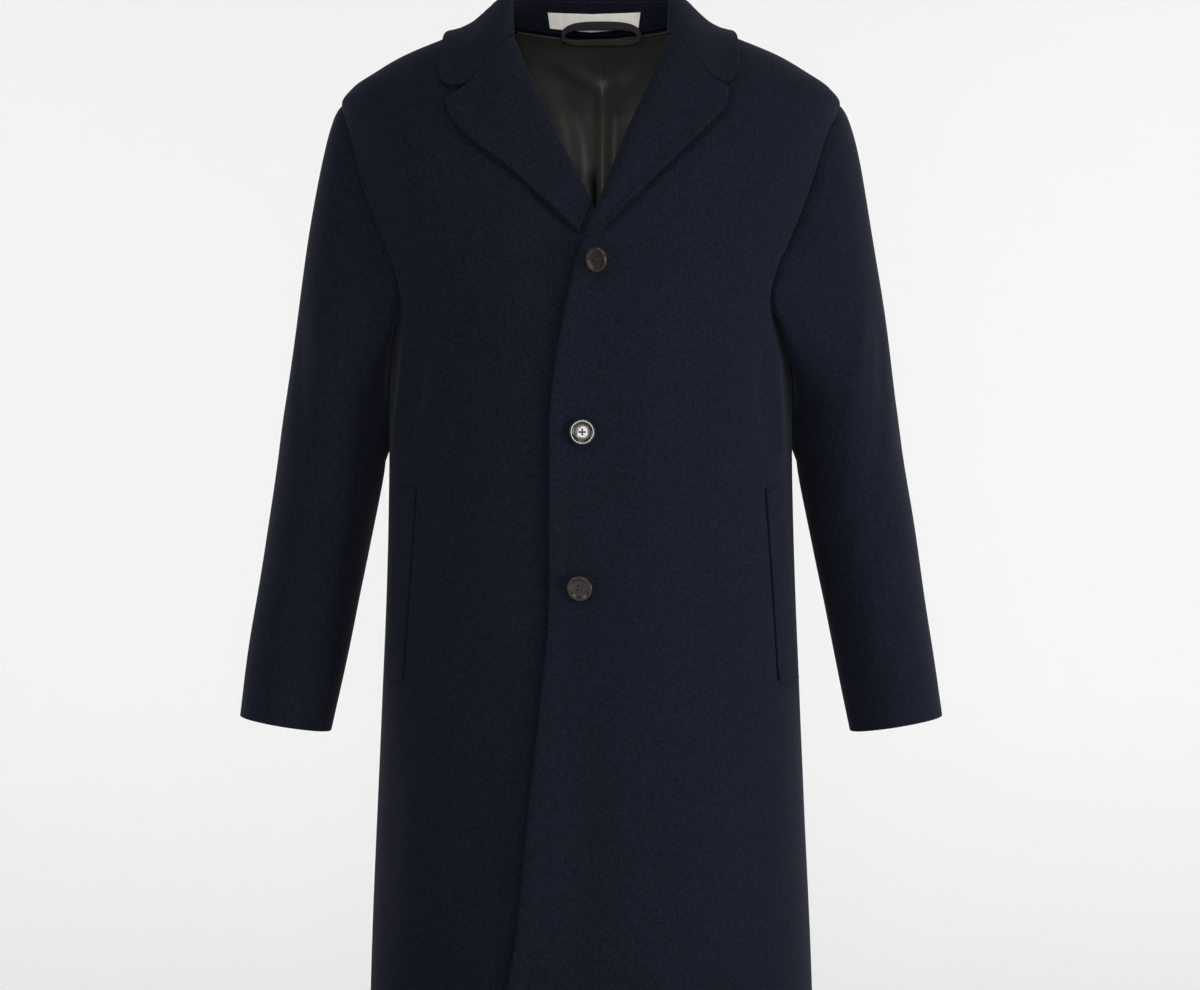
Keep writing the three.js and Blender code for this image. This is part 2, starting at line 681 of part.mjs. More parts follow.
/** A slanted welt, sewn along its front edge and standing on the panel's side. */
function pocketWelt(key, side) {
  const { topX, topZ, bottomX, bottomZ, topWidth, bottomWidth } = WELT;
  const layer = (lift) => grid(3, 7, (u, v) => {
    const x = lerp(bottomX, topX, v) + u * lerp(bottomWidth, topWidth, v);
    return atDistance(onFront(side * x, lerp(bottomZ, topZ, v)), LIE + lift);
  });
  return wall(`pocket_welt_${key}`, MELTON, layer(WALL), layer(0));
}

/** A four-hole button, lying on the left front. */
function button({ name, x, z }) {
  const outline = new THREE.Shape().absarc(0, 0, BUTTON_DIAMETER / 2, 0, 2 * Math.PI);
  for (const [dx, dy] of [[1, 0], [0, 1], [-1, 0], [0, -1]]) {
    const hole = new THREE.Path();
    hole.absarc(dx * BUTTON_SHANK, dy * BUTTON_SHANK, BUTTON_HOLE / 2, 0, 2 * Math.PI);
    outline.holes.push(hole);
  }
  const body = new THREE.ExtrudeGeometry(outline, {
    depth: BUTTON_THICKNESS, bevelEnabled: false, curveSegments: 10,
  });
  const mesh = new THREE.Mesh(body, new THREE.MeshStandardMaterial(HORN));
  const base = onFront(x, z);
  const { normal } = outward(base);
  mesh.position.copy(atDistance(base, LAP + BUTTON_SEAT));
  mesh.quaternion.setFromUnitVectors(vec(0, 0, 1), normal);
  mesh.name = name;
  return mesh;
}

// ---------------------------------------------------------------- the coat

export default new THREE.Group().add(
  ...bodyPanels(),
  ...sleevePieces("left", 1),
  ...sleevePieces("right", -1),
  lapel("left"),
  lapel("right"),
  collarFall(),
  collarStand(),
  backLining(),
  neckLabel(),
  hangerLoop(),
  pocketWelt("left", 1),
  pocketWelt("right", -1),
  ...BUTTONS.map(button),
);
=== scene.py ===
import sys
import logging
import math
from dataclasses import dataclass
from enum import Enum
from typing import Callable, Sequence

import bpy
import numpy as np
from mathutils import Matrix, Vector


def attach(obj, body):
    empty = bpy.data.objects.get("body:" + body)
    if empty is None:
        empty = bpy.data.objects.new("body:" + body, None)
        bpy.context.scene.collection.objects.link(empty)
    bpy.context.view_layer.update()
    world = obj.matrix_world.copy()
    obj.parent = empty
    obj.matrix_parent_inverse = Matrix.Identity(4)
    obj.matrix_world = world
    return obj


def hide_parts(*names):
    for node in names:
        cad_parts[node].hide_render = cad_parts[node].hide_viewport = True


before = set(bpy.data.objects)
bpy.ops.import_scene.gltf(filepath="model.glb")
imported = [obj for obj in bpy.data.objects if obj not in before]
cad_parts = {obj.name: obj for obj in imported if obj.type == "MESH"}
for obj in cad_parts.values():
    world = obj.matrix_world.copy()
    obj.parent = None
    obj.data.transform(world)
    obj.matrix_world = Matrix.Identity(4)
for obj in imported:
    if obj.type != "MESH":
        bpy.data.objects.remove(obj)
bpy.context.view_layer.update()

# A men's knee-length wool overcoat, filled out as if worn, with nothing inside it.
#
# The frame is the part's: +Z up, the fronts face -Y, +X is the wearer's left, and the origin
# is where the shoulders carry the coat. Shapes are worked out in millimetres and written to
# the meshes in metres. Every cloth piece is a thin closed shell over the same body form.

LOG = logging.getLogger("overcoat")
Array = np.ndarray
Pair = tuple[float, float]
Triple = tuple[float, float, float]
MM = 0.001

WALL = 2.4  # melton with its canvas
SEAM = 0.3  # gap between two sewn edges
LAP = 4.0  # how far the left front stands over the right one
LIE = 0.9  # gap under a piece that lies flat on a panel
HEM_Z = -1012.0
BREAK_Z = -245.0  # where the lapels start to roll
NECK_SIDE_Z = -3.0
NECK_BACK_Z = -18.0
NECK_FRONT = -38.5  # bearing where the neck seam meets the gorge
NECK_DIP = 30.0  # how far the neck seam falls from its side to the gorge
SHOULDER_Z = -96.0  # where the shoulder seam meets the armhole
RIGHT_BREAK_Z = -214.0  # where the right lapel's roll comes out from under the left front
ROUNDNESS = 2.4  # exponent of the body sections
TURN_RADIUS = 2.85  # outside radius of cloth folded back on itself
CELL = 5.0  # usual spacing of a panel's points
NEAR_EDGE = (0.0, 0.4, 0.9, 1.6, 2.6, 4.2, 6.6)  # distances of the points beside an edge
SEAM_ROUND = 1.3  # how far from a seam the cloth starts to dip into it
SEAM_SHARE = 0.8  # thickness kept at a seam
EDGE_SHARE = 0.3  # thickness kept at a finished edge
EDGE_ROUND = 1.7  # rounding of a finished edge
TURN_SHARES = (1.0, 0.85, 0.7, 0.55, 0.4, 0.25, 0.12)  # steps round a rolled fold
SLACK_WAVES = 7
SLACK_RADIUS = 200.0  # usual distance from the coat's axis, which makes an angle a length
SLACK_SUM = 2.6  # usual height of SLACK_WAVES sine waves together
PANEL_SLACK = 0.7
FRONT_SEED, BACK_SEED = 3, 8
BACKDROP_Z = -1660.0

# z, half-width, front depth, back depth
BODY = np.array([
    (-1012, 226.6, 158, 152), (-945, 224.5, 156, 149), (-822, 219.6, 152, 143),
    (-698, 214.2, 148, 136), (-606, 210, 146, 131), (-544, 208, 146, 128),
    (-451, 206, 146, 127), (-400, 204, 146, 129), (-330, 204, 146, 133),
    (-280, 213, 143, 136), (-230, 228, 137, 137), (-190, 241, 131, 135),
    (-150, 250, 123, 130), (-96, 256, 106, 119), (-80, 245, 100, 113),
    (-65, 223.5, 92, 106), (-49, 197, 82, 98), (-27, 146, 63, 82), (-17, 123, 53, 72),
    (-8, 100, 42, 60), (-3, 88, 34, 54), (6, 70, 22, 46), (14, 60, 17, 41), (60, 52, 14, 36),
], float)

# z, then the armhole's bearings from the side of the body: left front, right front, back
LEFT_COLUMN, RIGHT_COLUMN, BACK_COLUMN = 1, 2, 3
ARMHOLE = np.array([
    (SHOULDER_Z, 0, 0, 0), (-107, 5.5, 4.5, 6), (-130, 11, 8.5, 12), (-165, 14.5, 10.5, 16),
    (-205, 17.5, 13, 18.5), (-240, 20.5, 16, 20.5), (-270, 24, 19, 22.5),
    (-295, 25.5, 20, 22), (-316, 22, 17, 17), (-329, 12, 9, 9), (-334, 0, 0, 0),
], float)


class Side(Enum):
    """A side of the coat, the wearer's, with its sign in X."""

    LEFT = 1
    RIGHT = -1

    @property
    def label(self) -> str:
        """The side's name in piece names."""
        return self.name.lower()


class Face(Enum):
    """Front or back of the body, with its sign in Y."""

    FRONT = -1
    BACK = 1


# ---------------------------------------------------------------- curves


def smoothstep(value: Array, low: float, high: float) -> Array:
    """Rise smoothly from 0 at low to 1 at high."""
    t = np.clip((np.asarray(value, float) - low) / (high - low), 0, 1)
    return t * t * (3 - 2 * t)


def lerp(a: Array, b: Array, t: Array) -> Array:
    """The value a share t of the way from a to b."""
    return a + (b - a) * t


def unit(vectors: Array) -> Array:
    """Vectors made one long."""
    return vectors / np.maximum(np.linalg.norm(vectors, axis=-1, keepdims=True), 1e-12)


class Table:
    """A smooth curve through sorted rows, with no overshoot, straight beyond its ends."""

    def __init__(self, at: Sequence[float], values: Sequence[float]) -> None:
        """Take the rows in any order.

        Args:
            at: where each value stands.
            values: one value for each.
        """
        order = np.argsort(at)
        self.at, self.value = np.asarray(at, float)[order], np.asarray(values, float)[order]
        slope = np.diff(self.value) / np.diff(self.at)
        before, after = slope[:-1], slope[1:]
        total = before + after
        mean = 2 * before * after / np.where(total == 0, 1, total)
        inner = np.where(before * after <= 0, 0, mean)
        self.tangent = np.concatenate([slope[:1], inner, slope[-1:]])

    def __call__(self, s: Array) -> Array:
        """The curve's value at s."""
        s = np.asarray(s, float)
        i = np.clip(np.searchsorted(self.at, s, side="right") - 1, 0, len(self.at) - 2)
        h = self.at[i + 1] - self.at[i]
        t = (s - self.at[i]) / h
        inside = np.clip(t, 0, 1)
        ease = (inside * (1 - inside) ** 2 * self.tangent[i]
                - inside ** 2 * (1 - inside) * self.tangent[i + 1])
        value = lerp(self.value[i], self.value[i + 1], inside ** 2 * (3 - 2 * inside)) + h * ease
        end = np.where(t < 0, self.tangent[0], self.tangent[-1])
        return value + (t - inside) * h * end


class Path:
    """A smooth curve through points, taking 0 to 1 by length."""

    def __init__(self, points: Sequence[Sequence[float]], steps: int = 60) -> None:
        """Fit the curve.

        Args:
            points: points of three numbers, or pairs of x and z.
            steps: samples between two points.
        """
        p = np.asarray(points, float)
        if p.shape[1] == 2:
            p = np.column_stack([p[:, 0], np.zeros(len(p)), p[:, 1]])
        p = np.vstack([2 * p[0] - p[1], p, 2 * p[-1] - p[-2]])
        gap = np.linalg.norm(np.diff(p, axis=0), axis=1) ** 0.5
        t = np.linspace(0, 1, steps, endpoint=False)[:, None]
        samples = []
        for i in range(1, len(p) - 2):
            a, b, c = gap[i - 1:i + 2]
            start = (p[i] - p[i - 1]) / a - (p[i + 1] - p[i - 1]) / (a + b) + (p[i + 1] - p[i]) / b
            end = (p[i + 1] - p[i]) / b - (p[i + 2] - p[i]) / (b + c) + (p[i + 2] - p[i + 1]) / c
            samples.append(
                (2 * t ** 3 - 3 * t ** 2 + 1) * p[i] + (t ** 3 - 2 * t ** 2 + t) * b * start
                + (3 * t ** 2 - 2 * t ** 3) * p[i + 1] + (t ** 3 - t ** 2) * b * end)
        self.samples = np.vstack([*samples, p[-2:-1]])
        length = np.concatenate([[0], np.cumsum(
            np.linalg.norm(np.diff(self.samples, axis=0), axis=1))])
        self.share = length / length[-1]

    def __call__(self, t: Array) -> Array:
        """Points at the given shares of the length."""
        t = np.asarray(t, float)
        return np.stack([np.interp(t, self.share, self.samples[:, k]) for k in range(3)], -1)


def spaced(length: float, cell: float, start: bool = True, end: bool = True) -> Array:
    """Shares of a length, evenly spaced, and close together beside its ends.

    Args:
        length: the length in mm.
        cell: the usual spacing in mm.
        start: whether points crowd at 0.
        end: whether points crowd at 1.

    Returns:
        Rising shares from 0 to 1.
    """
    near = np.array(NEAR_EDGE) / length
    low = near if start else np.array([0.0])
    high = 1 - near[::-1] if end else np.array([1.0])
    steps = max(2, round((high[0] - low[-1]) * length / cell))
    return np.concatenate([low, np.linspace(low[-1], high[0], steps + 1)[1:-1], high])


def patch(u: Array, v: Array, bottom: Array, top: Array, left: Array, right: Array) -> Array:
    """Points blended from four edges.

    Args:
        u: shares across, one for each point of bottom and top.
        v: shares up, one for each point of left and right.
        bottom: the edge at v = 0.
        top: the edge at v = 1.
        left: the edge at u = 0.
        right: the edge at u = 1.

    Returns:
        A grid of points, rows by v and columns by u.
    """
    u, v = u[None, :, None], v[:, None, None]
    sides = (1 - u) * left[:, None] + u * right[:, None]
    ends = (1 - v) * bottom[None] + v * top[None]
    low = (1 - u) * left[0] + u * right[0]
    high = (1 - u) * left[-1] + u * right[-1]
    return sides + ends - ((1 - v) * low + v * high)


# ---------------------------------------------------------------- body form


class BodyForm:
    """The form that every panel follows: level sections that are flattened ellipses."""

    def __init__(self) -> None:
        """Read the sections."""
        self.half, self.front_depth, self.back_depth = (
            Table(BODY[:, 0], BODY[:, k]) for k in (1, 2, 3))

    def outness(self, p: Array) -> Array:
        """How far points are out from the form: 1 on it, more outside."""
        x, y, z = p[..., 0], p[..., 1], p[..., 2]
        deep = np.abs(y) / np.where(y < 0, self.front_depth(z), self.back_depth(z))
        across = np.abs(x) / self.half(z)
        return (across ** ROUNDNESS + deep ** ROUNDNESS) ** (1 / ROUNDNESS)

    def outward(self, p: Array) -> tuple[Array, Array]:
        """Directions out of the form at points, and their distances from it."""
        step = 0.5
        slope = np.stack([
            (self.outness(p + step * axis) - self.outness(p - step * axis)) / (2 * step)
            for axis in np.eye(3)], -1)
        steep = np.linalg.norm(slope, axis=-1)
        return slope / steep[..., None], (self.outness(p) - 1) / steep

    def at(self, p: Array, distance: Array) -> Array:
        """Points moved to a distance outside the form, negative being inside."""
        moved = np.array(p, float)
        for _ in range(4):
            normal, now = self.outward(moved)
            moved = moved + normal * (distance - now)[..., None]
        return moved

    def clear(self, p: Array, distance: Array, softness: Array = 3.0) -> Array:
        """Points moved out only as far as they need to clear the form, softly."""
        spare = self.outward(p)[1] - distance
        return self.at(p, distance + (spare + np.hypot(spare, softness)) / 2)

    def bearing(self, degrees: Array, z: Array) -> Array:
        """Points of the form at bearings from +X towards the back, and heights."""
        angle = np.radians(degrees)
        z = np.asarray(z, float) + 0 * angle
        way = np.stack([np.cos(angle), np.sin(angle), z], -1)
        reach = 1 / self.outness(way)
        return np.stack([way[..., 0] * reach, way[..., 1] * reach, z], -1)

    def straight(self, x: Array, z: Array, face: Face = Face.FRONT) -> Array:
        """Points on the front or back of the form, straight in from x and z."""
        x, z = np.broadcast_arrays(np.asarray(x, float), np.asarray(z, float))
        inside = np.maximum(1 - (np.abs(x) / self.half(z)) ** ROUNDNESS, 1e-6)
        depth = self.front_depth(z) if face is Face.FRONT else self.back_depth(z)
        return np.stack([x, face.value * depth * inside ** (1 / ROUNDNESS), z], -1)


FORM = BodyForm()


def lap_height(p: Array) -> Array:
    """How far the left front stands off the form, where it lies over the right one."""
    return (LAP * (1 - smoothstep(p[..., 0], 32, 105))
            * (1 - smoothstep(p[..., 2], -205, -150)))


def neck_z(bearing: Array) -> Array:
    """The neck seam's height at bearings from the side of the neck, back or front."""
    b = np.asarray(bearing, float)
    front = NECK_SIDE_Z - NECK_DIP * np.clip(b / NECK_FRONT, 0, 1) ** 1.5
    back = NECK_SIDE_Z + (NECK_BACK_Z - NECK_SIDE_Z) * np.clip(b / 90, 0, 1) ** 0.6
    return np.where(b < 0, front, back)


# ---------------------------------------------------------------- folds


@dataclass(frozen=True)
class Fold:
    """A soft ridge in the cloth, or a trough where its height is negative."""

    line: tuple[tuple[float, float], ...]  # points of x and z
    width: float
    height: float
    sharp: float = 0.8  # how quickly it rises from its ends

    def on(self, points: Array, line: Array) -> Array:
        """How far the fold lifts points.

        Args:
            points: points of the cloth.
            line: the fold's own points, in space.

        Returns:
            The height at each point.
        """
        nearest = np.full(points.shape[:-1], np.inf)
        along = np.zeros(points.shape[:-1])
        size = np.linalg.norm(np.diff(line, axis=0), axis=1)
        start = np.concatenate([[0], np.cumsum(size)])
        for k, way in enumerate(np.diff(line, axis=0)):
            t = np.clip(((points - line[k]) @ way) / (way @ way), 0, 1)
            away = np.linalg.norm(points - line[k] - t[..., None] * way, axis=-1)
            closer = away < nearest
            nearest = np.where(closer, away, nearest)
            along = np.where(closer, (start[k] + t * size[k]) / start[-1], along)
        taper = np.sin(np.pi * np.clip(along, 0.02, 0.98)) ** self.sharp
        return self.height * taper * np.exp(-(nearest / self.width) ** 2)


def folded(points: Array, folds: Sequence[Fold], face: Face) -> Array:
    """The height that all folds of a face give its points."""
    total = np.zeros(points.shape[:-1])
    for fold in folds:
        line = Path(fold.line, 6)
        flat = line(np.linspace(0, 1, 14))
        total = total + fold.on(points, FORM.straight(flat[:, 0], flat[:, 2], face))
    return total


def slack(points: Array, seed: int, height: float, wave: float = 170) -> Array:
    """A gentle unevenness of hanging cloth, longer down it than across.

    Args:
        points: points of the cloth.
        seed: fixes the waves.
        height: the usual height in mm.
        wave: the usual width of a wave in mm.

    Returns:
        The height at each point.
    """
    random = np.random.default_rng(seed)
    total = np.zeros(points.shape[:-1])
    angle = np.arctan2(points[..., 1], points[..., 0])
    for _ in range(SLACK_WAVES):
        around = 2 * np.pi / (wave * random.uniform(0.55, 1.5))
        down = 2 * np.pi / (wave * random.uniform(1.6, 4.5)) * random.choice([-1, 1])
        phase = random.uniform(0, 2 * np.pi)
        total += np.sin(angle * SLACK_RADIUS * around + down * points[..., 2] + phase)
    return total * height / SLACK_SUM


# ---------------------------------------------------------------- shells


def drawn_in(points: Array, gap: float = SEAM / 2) -> Array:
    """A grid with its four edges drawn in by half a seam's gap."""
    moved = points.copy()

    def pull(edge: tuple, inner: tuple) -> None:
        """Move one edge towards the row beside it."""
        moved[edge] += unit(points[inner] - points[edge]) * gap

    for edge, inner in (((0,), (1,)), ((-1,), (-2,)),
                        ((slice(None), 0), (slice(None), 1)),
                        ((slice(None), -1), (slice(None), -2))):
        pull(edge, inner)
    return moved


def grid_normals(points: Array, wraps: bool = False) -> Array:
    """Unit normals of a grid of points; wraps joins its last column to its first."""
    if wraps:
        along = np.roll(points, -1, 1) - np.roll(points, 1, 1)
    else:
        along = np.gradient(points, axis=1)
    return unit(np.cross(along, np.gradient(points, axis=0)))


def edge_share(points: Array, rounds: tuple[float, float, float, float]) -> Array:
    """How much of its thickness cloth keeps near its edges.

    Args:
        points: a grid along the middle of the cloth.
        rounds: rounding in mm at the first row, last row, first column and last column,
            0 for an edge that keeps its thickness.

    Returns:
        A share from EDGE_SHARE or SEAM_SHARE on an edge to 1 inside.
    """
    down = np.linalg.norm(np.diff(points, axis=0), axis=-1)
    across = np.linalg.norm(np.diff(points, axis=1), axis=-1)
    first = np.concatenate([np.zeros((1, points.shape[1])), np.cumsum(down, 0)])
    left = np.concatenate([np.zeros((points.shape[0], 1)), np.cumsum(across, 1)], axis=1)
    share = np.ones(points.shape[:2])
    for away, size in zip((first, first[-1:] - first, left, left[:, -1:] - left), rounds):
        if size > 0:
            rest = 1 - np.clip(away / size, 0, 1)
            low = EDGE_SHARE if size > SEAM_ROUND else SEAM_SHARE
            share = np.minimum(share, low + (1 - low) * np.sqrt(1 - rest ** 2))
    return share


def rounded(outer: Array, inner: Array, rounds: tuple[float, float, float, float]
            ) -> tuple[Array, Array]:
    """Two faces of cloth brought together at its edges, as edge_share says."""
    middle = (outer + inner) / 2
    share = edge_share(middle, rounds)[..., None]
    return middle + (outer - middle) * share, middle + (inner - middle) * share


def shell_faces(rows: int, columns: int) -> Array:
    """Quads of a closed shell of two grids of the same size."""
    index = np.arange(rows * columns).reshape(rows, columns)
    layer = rows * columns
    a, b, c, d = index[:-1, :-1], index[:-1, 1:], index[1:, 1:], index[1:, :-1]
    front = np.stack([a, b, c, d], -1).reshape(-1, 4)
    back = np.stack([a, d, c, b], -1).reshape(-1, 4) + layer
    rim = np.concatenate([index[0, :-1], index[:-1, -1], index[-1, :0:-1], index[:0:-1, 0]])
    following = np.roll(rim, -1)
    side = np.stack([rim, rim + layer, following + layer, following], -1)
    return np.concatenate([front, back, side])


def mesh_object(name: str, points: Array, faces: Array) -> bpy.types.Object:
    """A smooth mesh from points in mm and quads, turned so that its normals point out.

    Args:
        name: the piece's name.
        points: its points.
        faces: four point numbers for each face.

    Returns:
        The new object, linked to the scene.
    """
    p = points.reshape(-1, 3) * MM
    a, b, c, d = (p[faces[:, k]] for k in range(4))
    volume = np.einsum("ij,ij->i", a, np.cross(b, c) + np.cross(c, d)).sum()
    ordered = faces if volume > 0 else faces[:, ::-1]
    mesh = bpy.data.meshes.new(name)
    mesh.from_pydata(p.tolist(), [], ordered.tolist())
    mesh.polygons.foreach_set("use_smooth", [True] * len(mesh.polygons))
    mesh.validate()
    mesh.update()
    piece = bpy.data.objects.new(name, mesh)
    bpy.context.scene.collection.objects.link(piece)
    return piece


def shell(name: str, outer: Array, inner: Array) -> bpy.types.Object:
    """A closed shell between two grids of points of the same size."""
    rows, columns = outer.shape[:2]
    return mesh_object(name, np.stack([outer, inner]), shell_faces(rows, columns))


def tube_faces(count: int, around: int, closed: bool) -> Array:
    """Quads of a tube through count rings, closed on itself or with a cap at each end."""
    index = np.arange(count * around).reshape(count, around)
    following = np.roll(index, -1, 0) if closed else index[1:]
    first = index if closed else index[:-1]
    faces = np.stack([first, np.roll(first, -1, 1), np.roll(following, -1, 1), following], -1)
    faces = faces.reshape(-1, 4)
    if closed:
        return faces
    caps = [[ring[k], ring[k + 1], ring[-k - 2], ring[-k - 1]][::-turn]
            for ring, turn in ((index[0], 1), (index[-1], -1)) for k in range(around // 2 - 1)]
    return np.concatenate([faces, np.array(caps)])


def tube(name: str, rings: Array, closed: bool) -> bpy.types.Object:
    """A tube through rings of points, closed on itself or with a cap at each end."""
    return mesh_object(name, rings, tube_faces(*rings.shape[:2], closed))


def turned(face: Array, normals: Array, away: Array, radius: float, end: Array,
           tail: float) -> tuple[Array, Array]:
    """Cloth folded back at the first row of a face, rolled round a radius.

    Args:
        face: the first row of the cloth's outer face.
        normals: its normals.
        away: directions along the cloth and off its first row.
        radius: outside radius of the roll.
        end: how far round it goes at each point, in radians.
        tail: straight length after the roll.

    Returns:
        Outer and inner rows of the roll, from its far end up to the face.
    """
    centre = face - normals * radius
    outer, inner = [], []
    for share in TURN_SHARES:
        turn = (end * share)[:, None]
        way = np.cos(turn) * normals + np.sin(turn) * away
        outer.append(centre + way * radius)
        inner.append(centre + way * (radius - WALL))
    last = end[:, None]
    straight = (np.cos(last) * away - np.sin(last) * normals) * tail
    outer.insert(0, outer[0] + straight)
    inner.insert(0, inner[0] + straight)
    return np.stack(outer), np.stack(inner)


# ---------------------------------------------------------------- finishes


def srgb(code: str) -> tuple[float, float, float, float]:
    """Linear colour from a hex sRGB code.

    Args:
        code: six hex digits after a hash.

    Returns:
        Linear red, green, blue and 1.
    """
    parts = [int(code[k:k + 2], 16) / 255 for k in (1, 3, 5)]
    linear = [c / 12.92 if c <= 0.04045 else ((c + 0.055) / 1.055) ** 2.4 for c in parts]
    return (*linear, 1.0)


def node(tree: bpy.types.NodeTree, kind: str, inputs: dict | None = None,
         **settings: object) -> bpy.types.Node:
    """A new node.

    Args:
        tree: where it goes.
        kind: its type's name, without ShaderNode.
        inputs: socket names with a value, or with a socket to link from.
        settings: attributes of the node.

    Returns:
        The node.
    """
    made = tree.nodes.new("ShaderNode" + kind)
    for key, value in settings.items():
        setattr(made, key, value)
    for key, value in (inputs or {}).items():
        if isinstance(value, bpy.types.NodeSocket):
            tree.links.new(value, made.inputs[key])
        else:
            made.inputs[key].default_value = value
    return made


@dataclass(frozen=True)
class Finish:
    """A material: its colours, how it shines, and the sizes of its pattern."""

    name: str
    dark: str
    light: str
    roughness: float
    cell: float  # size in mm of the main pattern
    grain: float  # size in mm of the fine pattern
    bump: float  # height in mm of the fine pattern
    stretch: tuple[float, float, float] = (1.0, 1.0, 1.0)
    speck: str | None = None  # colour of sparse light fibres
    speck_share: float = 0.0
    sheen: float = 0.0
    coat: float = 0.0
    specular: float = 0.5
    ior: float = 1.5
    depth: tuple[Pair, Pair] | None = None  # spans of x and z where painted shade turns the colour almost black

    def build(self) -> bpy.types.Material:
        """Make the material."""
        material = bpy.data.materials.new(self.name)
        material.use_nodes = True
        tree = material.node_tree
        surface = tree.nodes["Principled BSDF"]
        place = node(tree, "TexCoord").outputs["Object"]
        along = node(tree, "Mapping", {"Vector": place, "Scale": self.stretch}).outputs["Vector"]
        patches = node(tree, "TexNoise", {
            "Vector": place, "Scale": 1 / (self.cell * MM), "Detail": 3.0, "Roughness": 0.6})
        fibres = node(tree, "TexNoise", {
            "Vector": along, "Scale": 1 / (self.grain * MM), "Detail": 2.0, "Roughness": 0.7})
        mixed = node(tree, "Math", {0: patches.outputs["Fac"], 1: fibres.outputs["Fac"]},
                     operation="ADD")
        share = node(tree, "MapRange", {
            "Value": mixed.outputs[0], "From Min": 0.72, "From Max": 1.28})
        colour = self._mix(tree, share.outputs[0], srgb(self.dark), srgb(self.light))
        if self.speck:
            stray = node(tree, "TexNoise", {
                "Vector": along, "Scale": 1 / (self.grain * 0.8 * MM), "Detail": 0.0})
            chosen = node(tree, "MapRange", {
                "Value": stray.outputs["Fac"], "From Min": 0.62, "From Max": 0.74,
                "To Max": self.speck_share})
            colour = self._mix(tree, chosen.outputs[0], colour, srgb(self.speck))
        # painted shade: the colour goes almost black over the depth spans, low beside the pleat
        if self.depth:
            colour = self.in_depth(tree, place, colour)
        tree.links.new(colour, surface.inputs["Base Color"])
        bump = node(tree, "Bump", {
            "Height": mixed.outputs[0], "Distance": self.bump * MM, "Strength": 0.6})
        tree.links.new(bump.outputs["Normal"], surface.inputs["Normal"])
        for key, value in (("Roughness", self.roughness), ("IOR", self.ior),
                           ("Specular IOR Level", self.specular), ("Coat Weight", self.coat),
                           ("Coat Roughness", 0.08), ("Sheen Weight", self.sheen),
                           ("Sheen Roughness", 0.45),
                           ("Sheen Tint", srgb("#c3c8dc"))):
            surface.inputs[key].default_value = value
        return material

    def in_depth(self, tree: bpy.types.NodeTree, place: bpy.types.NodeSocket,
                 colour: bpy.types.NodeSocket) -> bpy.types.NodeSocket:
        """The colour with painted shade: almost black low beside the pleat, where little light
        comes.

        Args:
            tree: the material's tree.
            place: object coordinates.
            colour: the cloth's colour.

        Returns:
            The colour, with the painted shade over the spans of x and z in mm that depth gives.
        """
        parts = node(tree, "SeparateXYZ", {"Vector": place})
        shares = [node(tree, "MapRange", {
            "Value": parts.outputs[axis], "From Min": span[0] * MM, "From Max": span[1] * MM},
            interpolation_type="SMOOTHSTEP").outputs[0]
            for axis, span in zip("XZ", self.depth)]
        both = node(tree, "Math", {0: shares[0], 1: shares[1]}, operation="MULTIPLY")
        # near-black colour of the painted shade
        return self._mix(tree, both.outputs[0], colour, srgb("#0b0b0a"))

    @staticmethod
    def _mix(tree: bpy.types.NodeTree, factor: bpy.types.NodeSocket,
             low: object, high: object) -> bpy.types.NodeSocket:
        """A colour between two, each a value or a socket."""
        made = node(tree, "Mix", data_type="RGBA")
        tree.links.new(factor, made.inputs[0])
        for socket, value in ((made.inputs[6], low), (made.inputs[7], high)):
            if isinstance(value, bpy.types.NodeSocket):
                tree.links.new(value, socket)
            else:
                socket.default_value = value
        return made.outputs[2]


# Wool melton: matt and nearly black navy, with a felted heathered face and a faint nap that
# catches light where the cloth turns away.
MELTON = Finish("wool_melton", "#0a0c13", "#141824", 0.95, 3.2, 1.1, 0.30, (1, 1, 0.6),
                "#3a4158", 0.10, sheen=0.06, specular=0.07)
# Viscose satin lining: smooth, olive grey, with long soft highlights down its folds. Painted
# shade:
# a patch low beside the pleat, at the bottom of the neck opening, is painted almost black.
SATIN = Finish("satin_lining", "#3b3b36", "#474742", 0.40, 30.0, 0.5, 0.04, (1, 1, 0.1),
               specular=0.35, depth=((8.5, 3.5), (-138, -166)))
# The same satin in the near-black of the hanger loop's tape.
TAPE = Finish("satin_tape", "#0c0c0b", "#1a1a18", 0.55, 8.0, 0.5, 0.05, (1, 1, 0.3),
              specular=0.2)
# Buffalo horn: brown streaks under a clear polish that mirrors the lights.
HORN = Finish("buffalo_horn", "#0b0805", "#2c2418", 0.22, 7.0, 2.4, 0.002, (1, 0.6, 1),
              coat=0.35, specular=0.3, ior=1.5)
# Damask label: off-white polyester with fine ribs, matt.
LABEL_CLOTH = Finish("woven_label", "#dedad0", "#f1eee6", 0.75, 6.0, 0.6, 0.06, (0.3, 0.3, 1))
# Polyester sewing thread: dark navy, slightly glossy.
THREAD = Finish("sewing_thread", "#12141c", "#20232f", 0.55, 3.0, 0.4, 0.02)




class Wardrobe:
    """Materials by finish, each made once."""

    def __init__(self) -> None:
        """Start with none."""
        self.made: dict[str, bpy.types.Material] = {}

    def dress(self, piece: bpy.types.Object, finish: Finish, slot: str,
              *nodes: str) -> bpy.types.Object:
        """Give a piece its material and its body, and hide the nodes it stands for.

        Args:
            piece: the piece.
            finish: its finish.
            slot: not used.
            nodes: CAD nodes that it replaces.

        Returns:
            The piece.
        """
        if finish.name not in self.made:
            self.made[finish.name] = finish.build()
        piece.data.materials.clear()
        piece.data.materials.append(self.made[finish.name])
        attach(piece, "root")
        if nodes:
            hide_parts(*nodes)
        piece.data.calc_loop_triangles()
        LOG.info("%s: %d triangles, %s", piece.name, len(piece.data.loop_triangles),
                 finish.name)
        return piece


WARDROBE = Wardrobe()


# ---------------------------------------------------------------- body panels

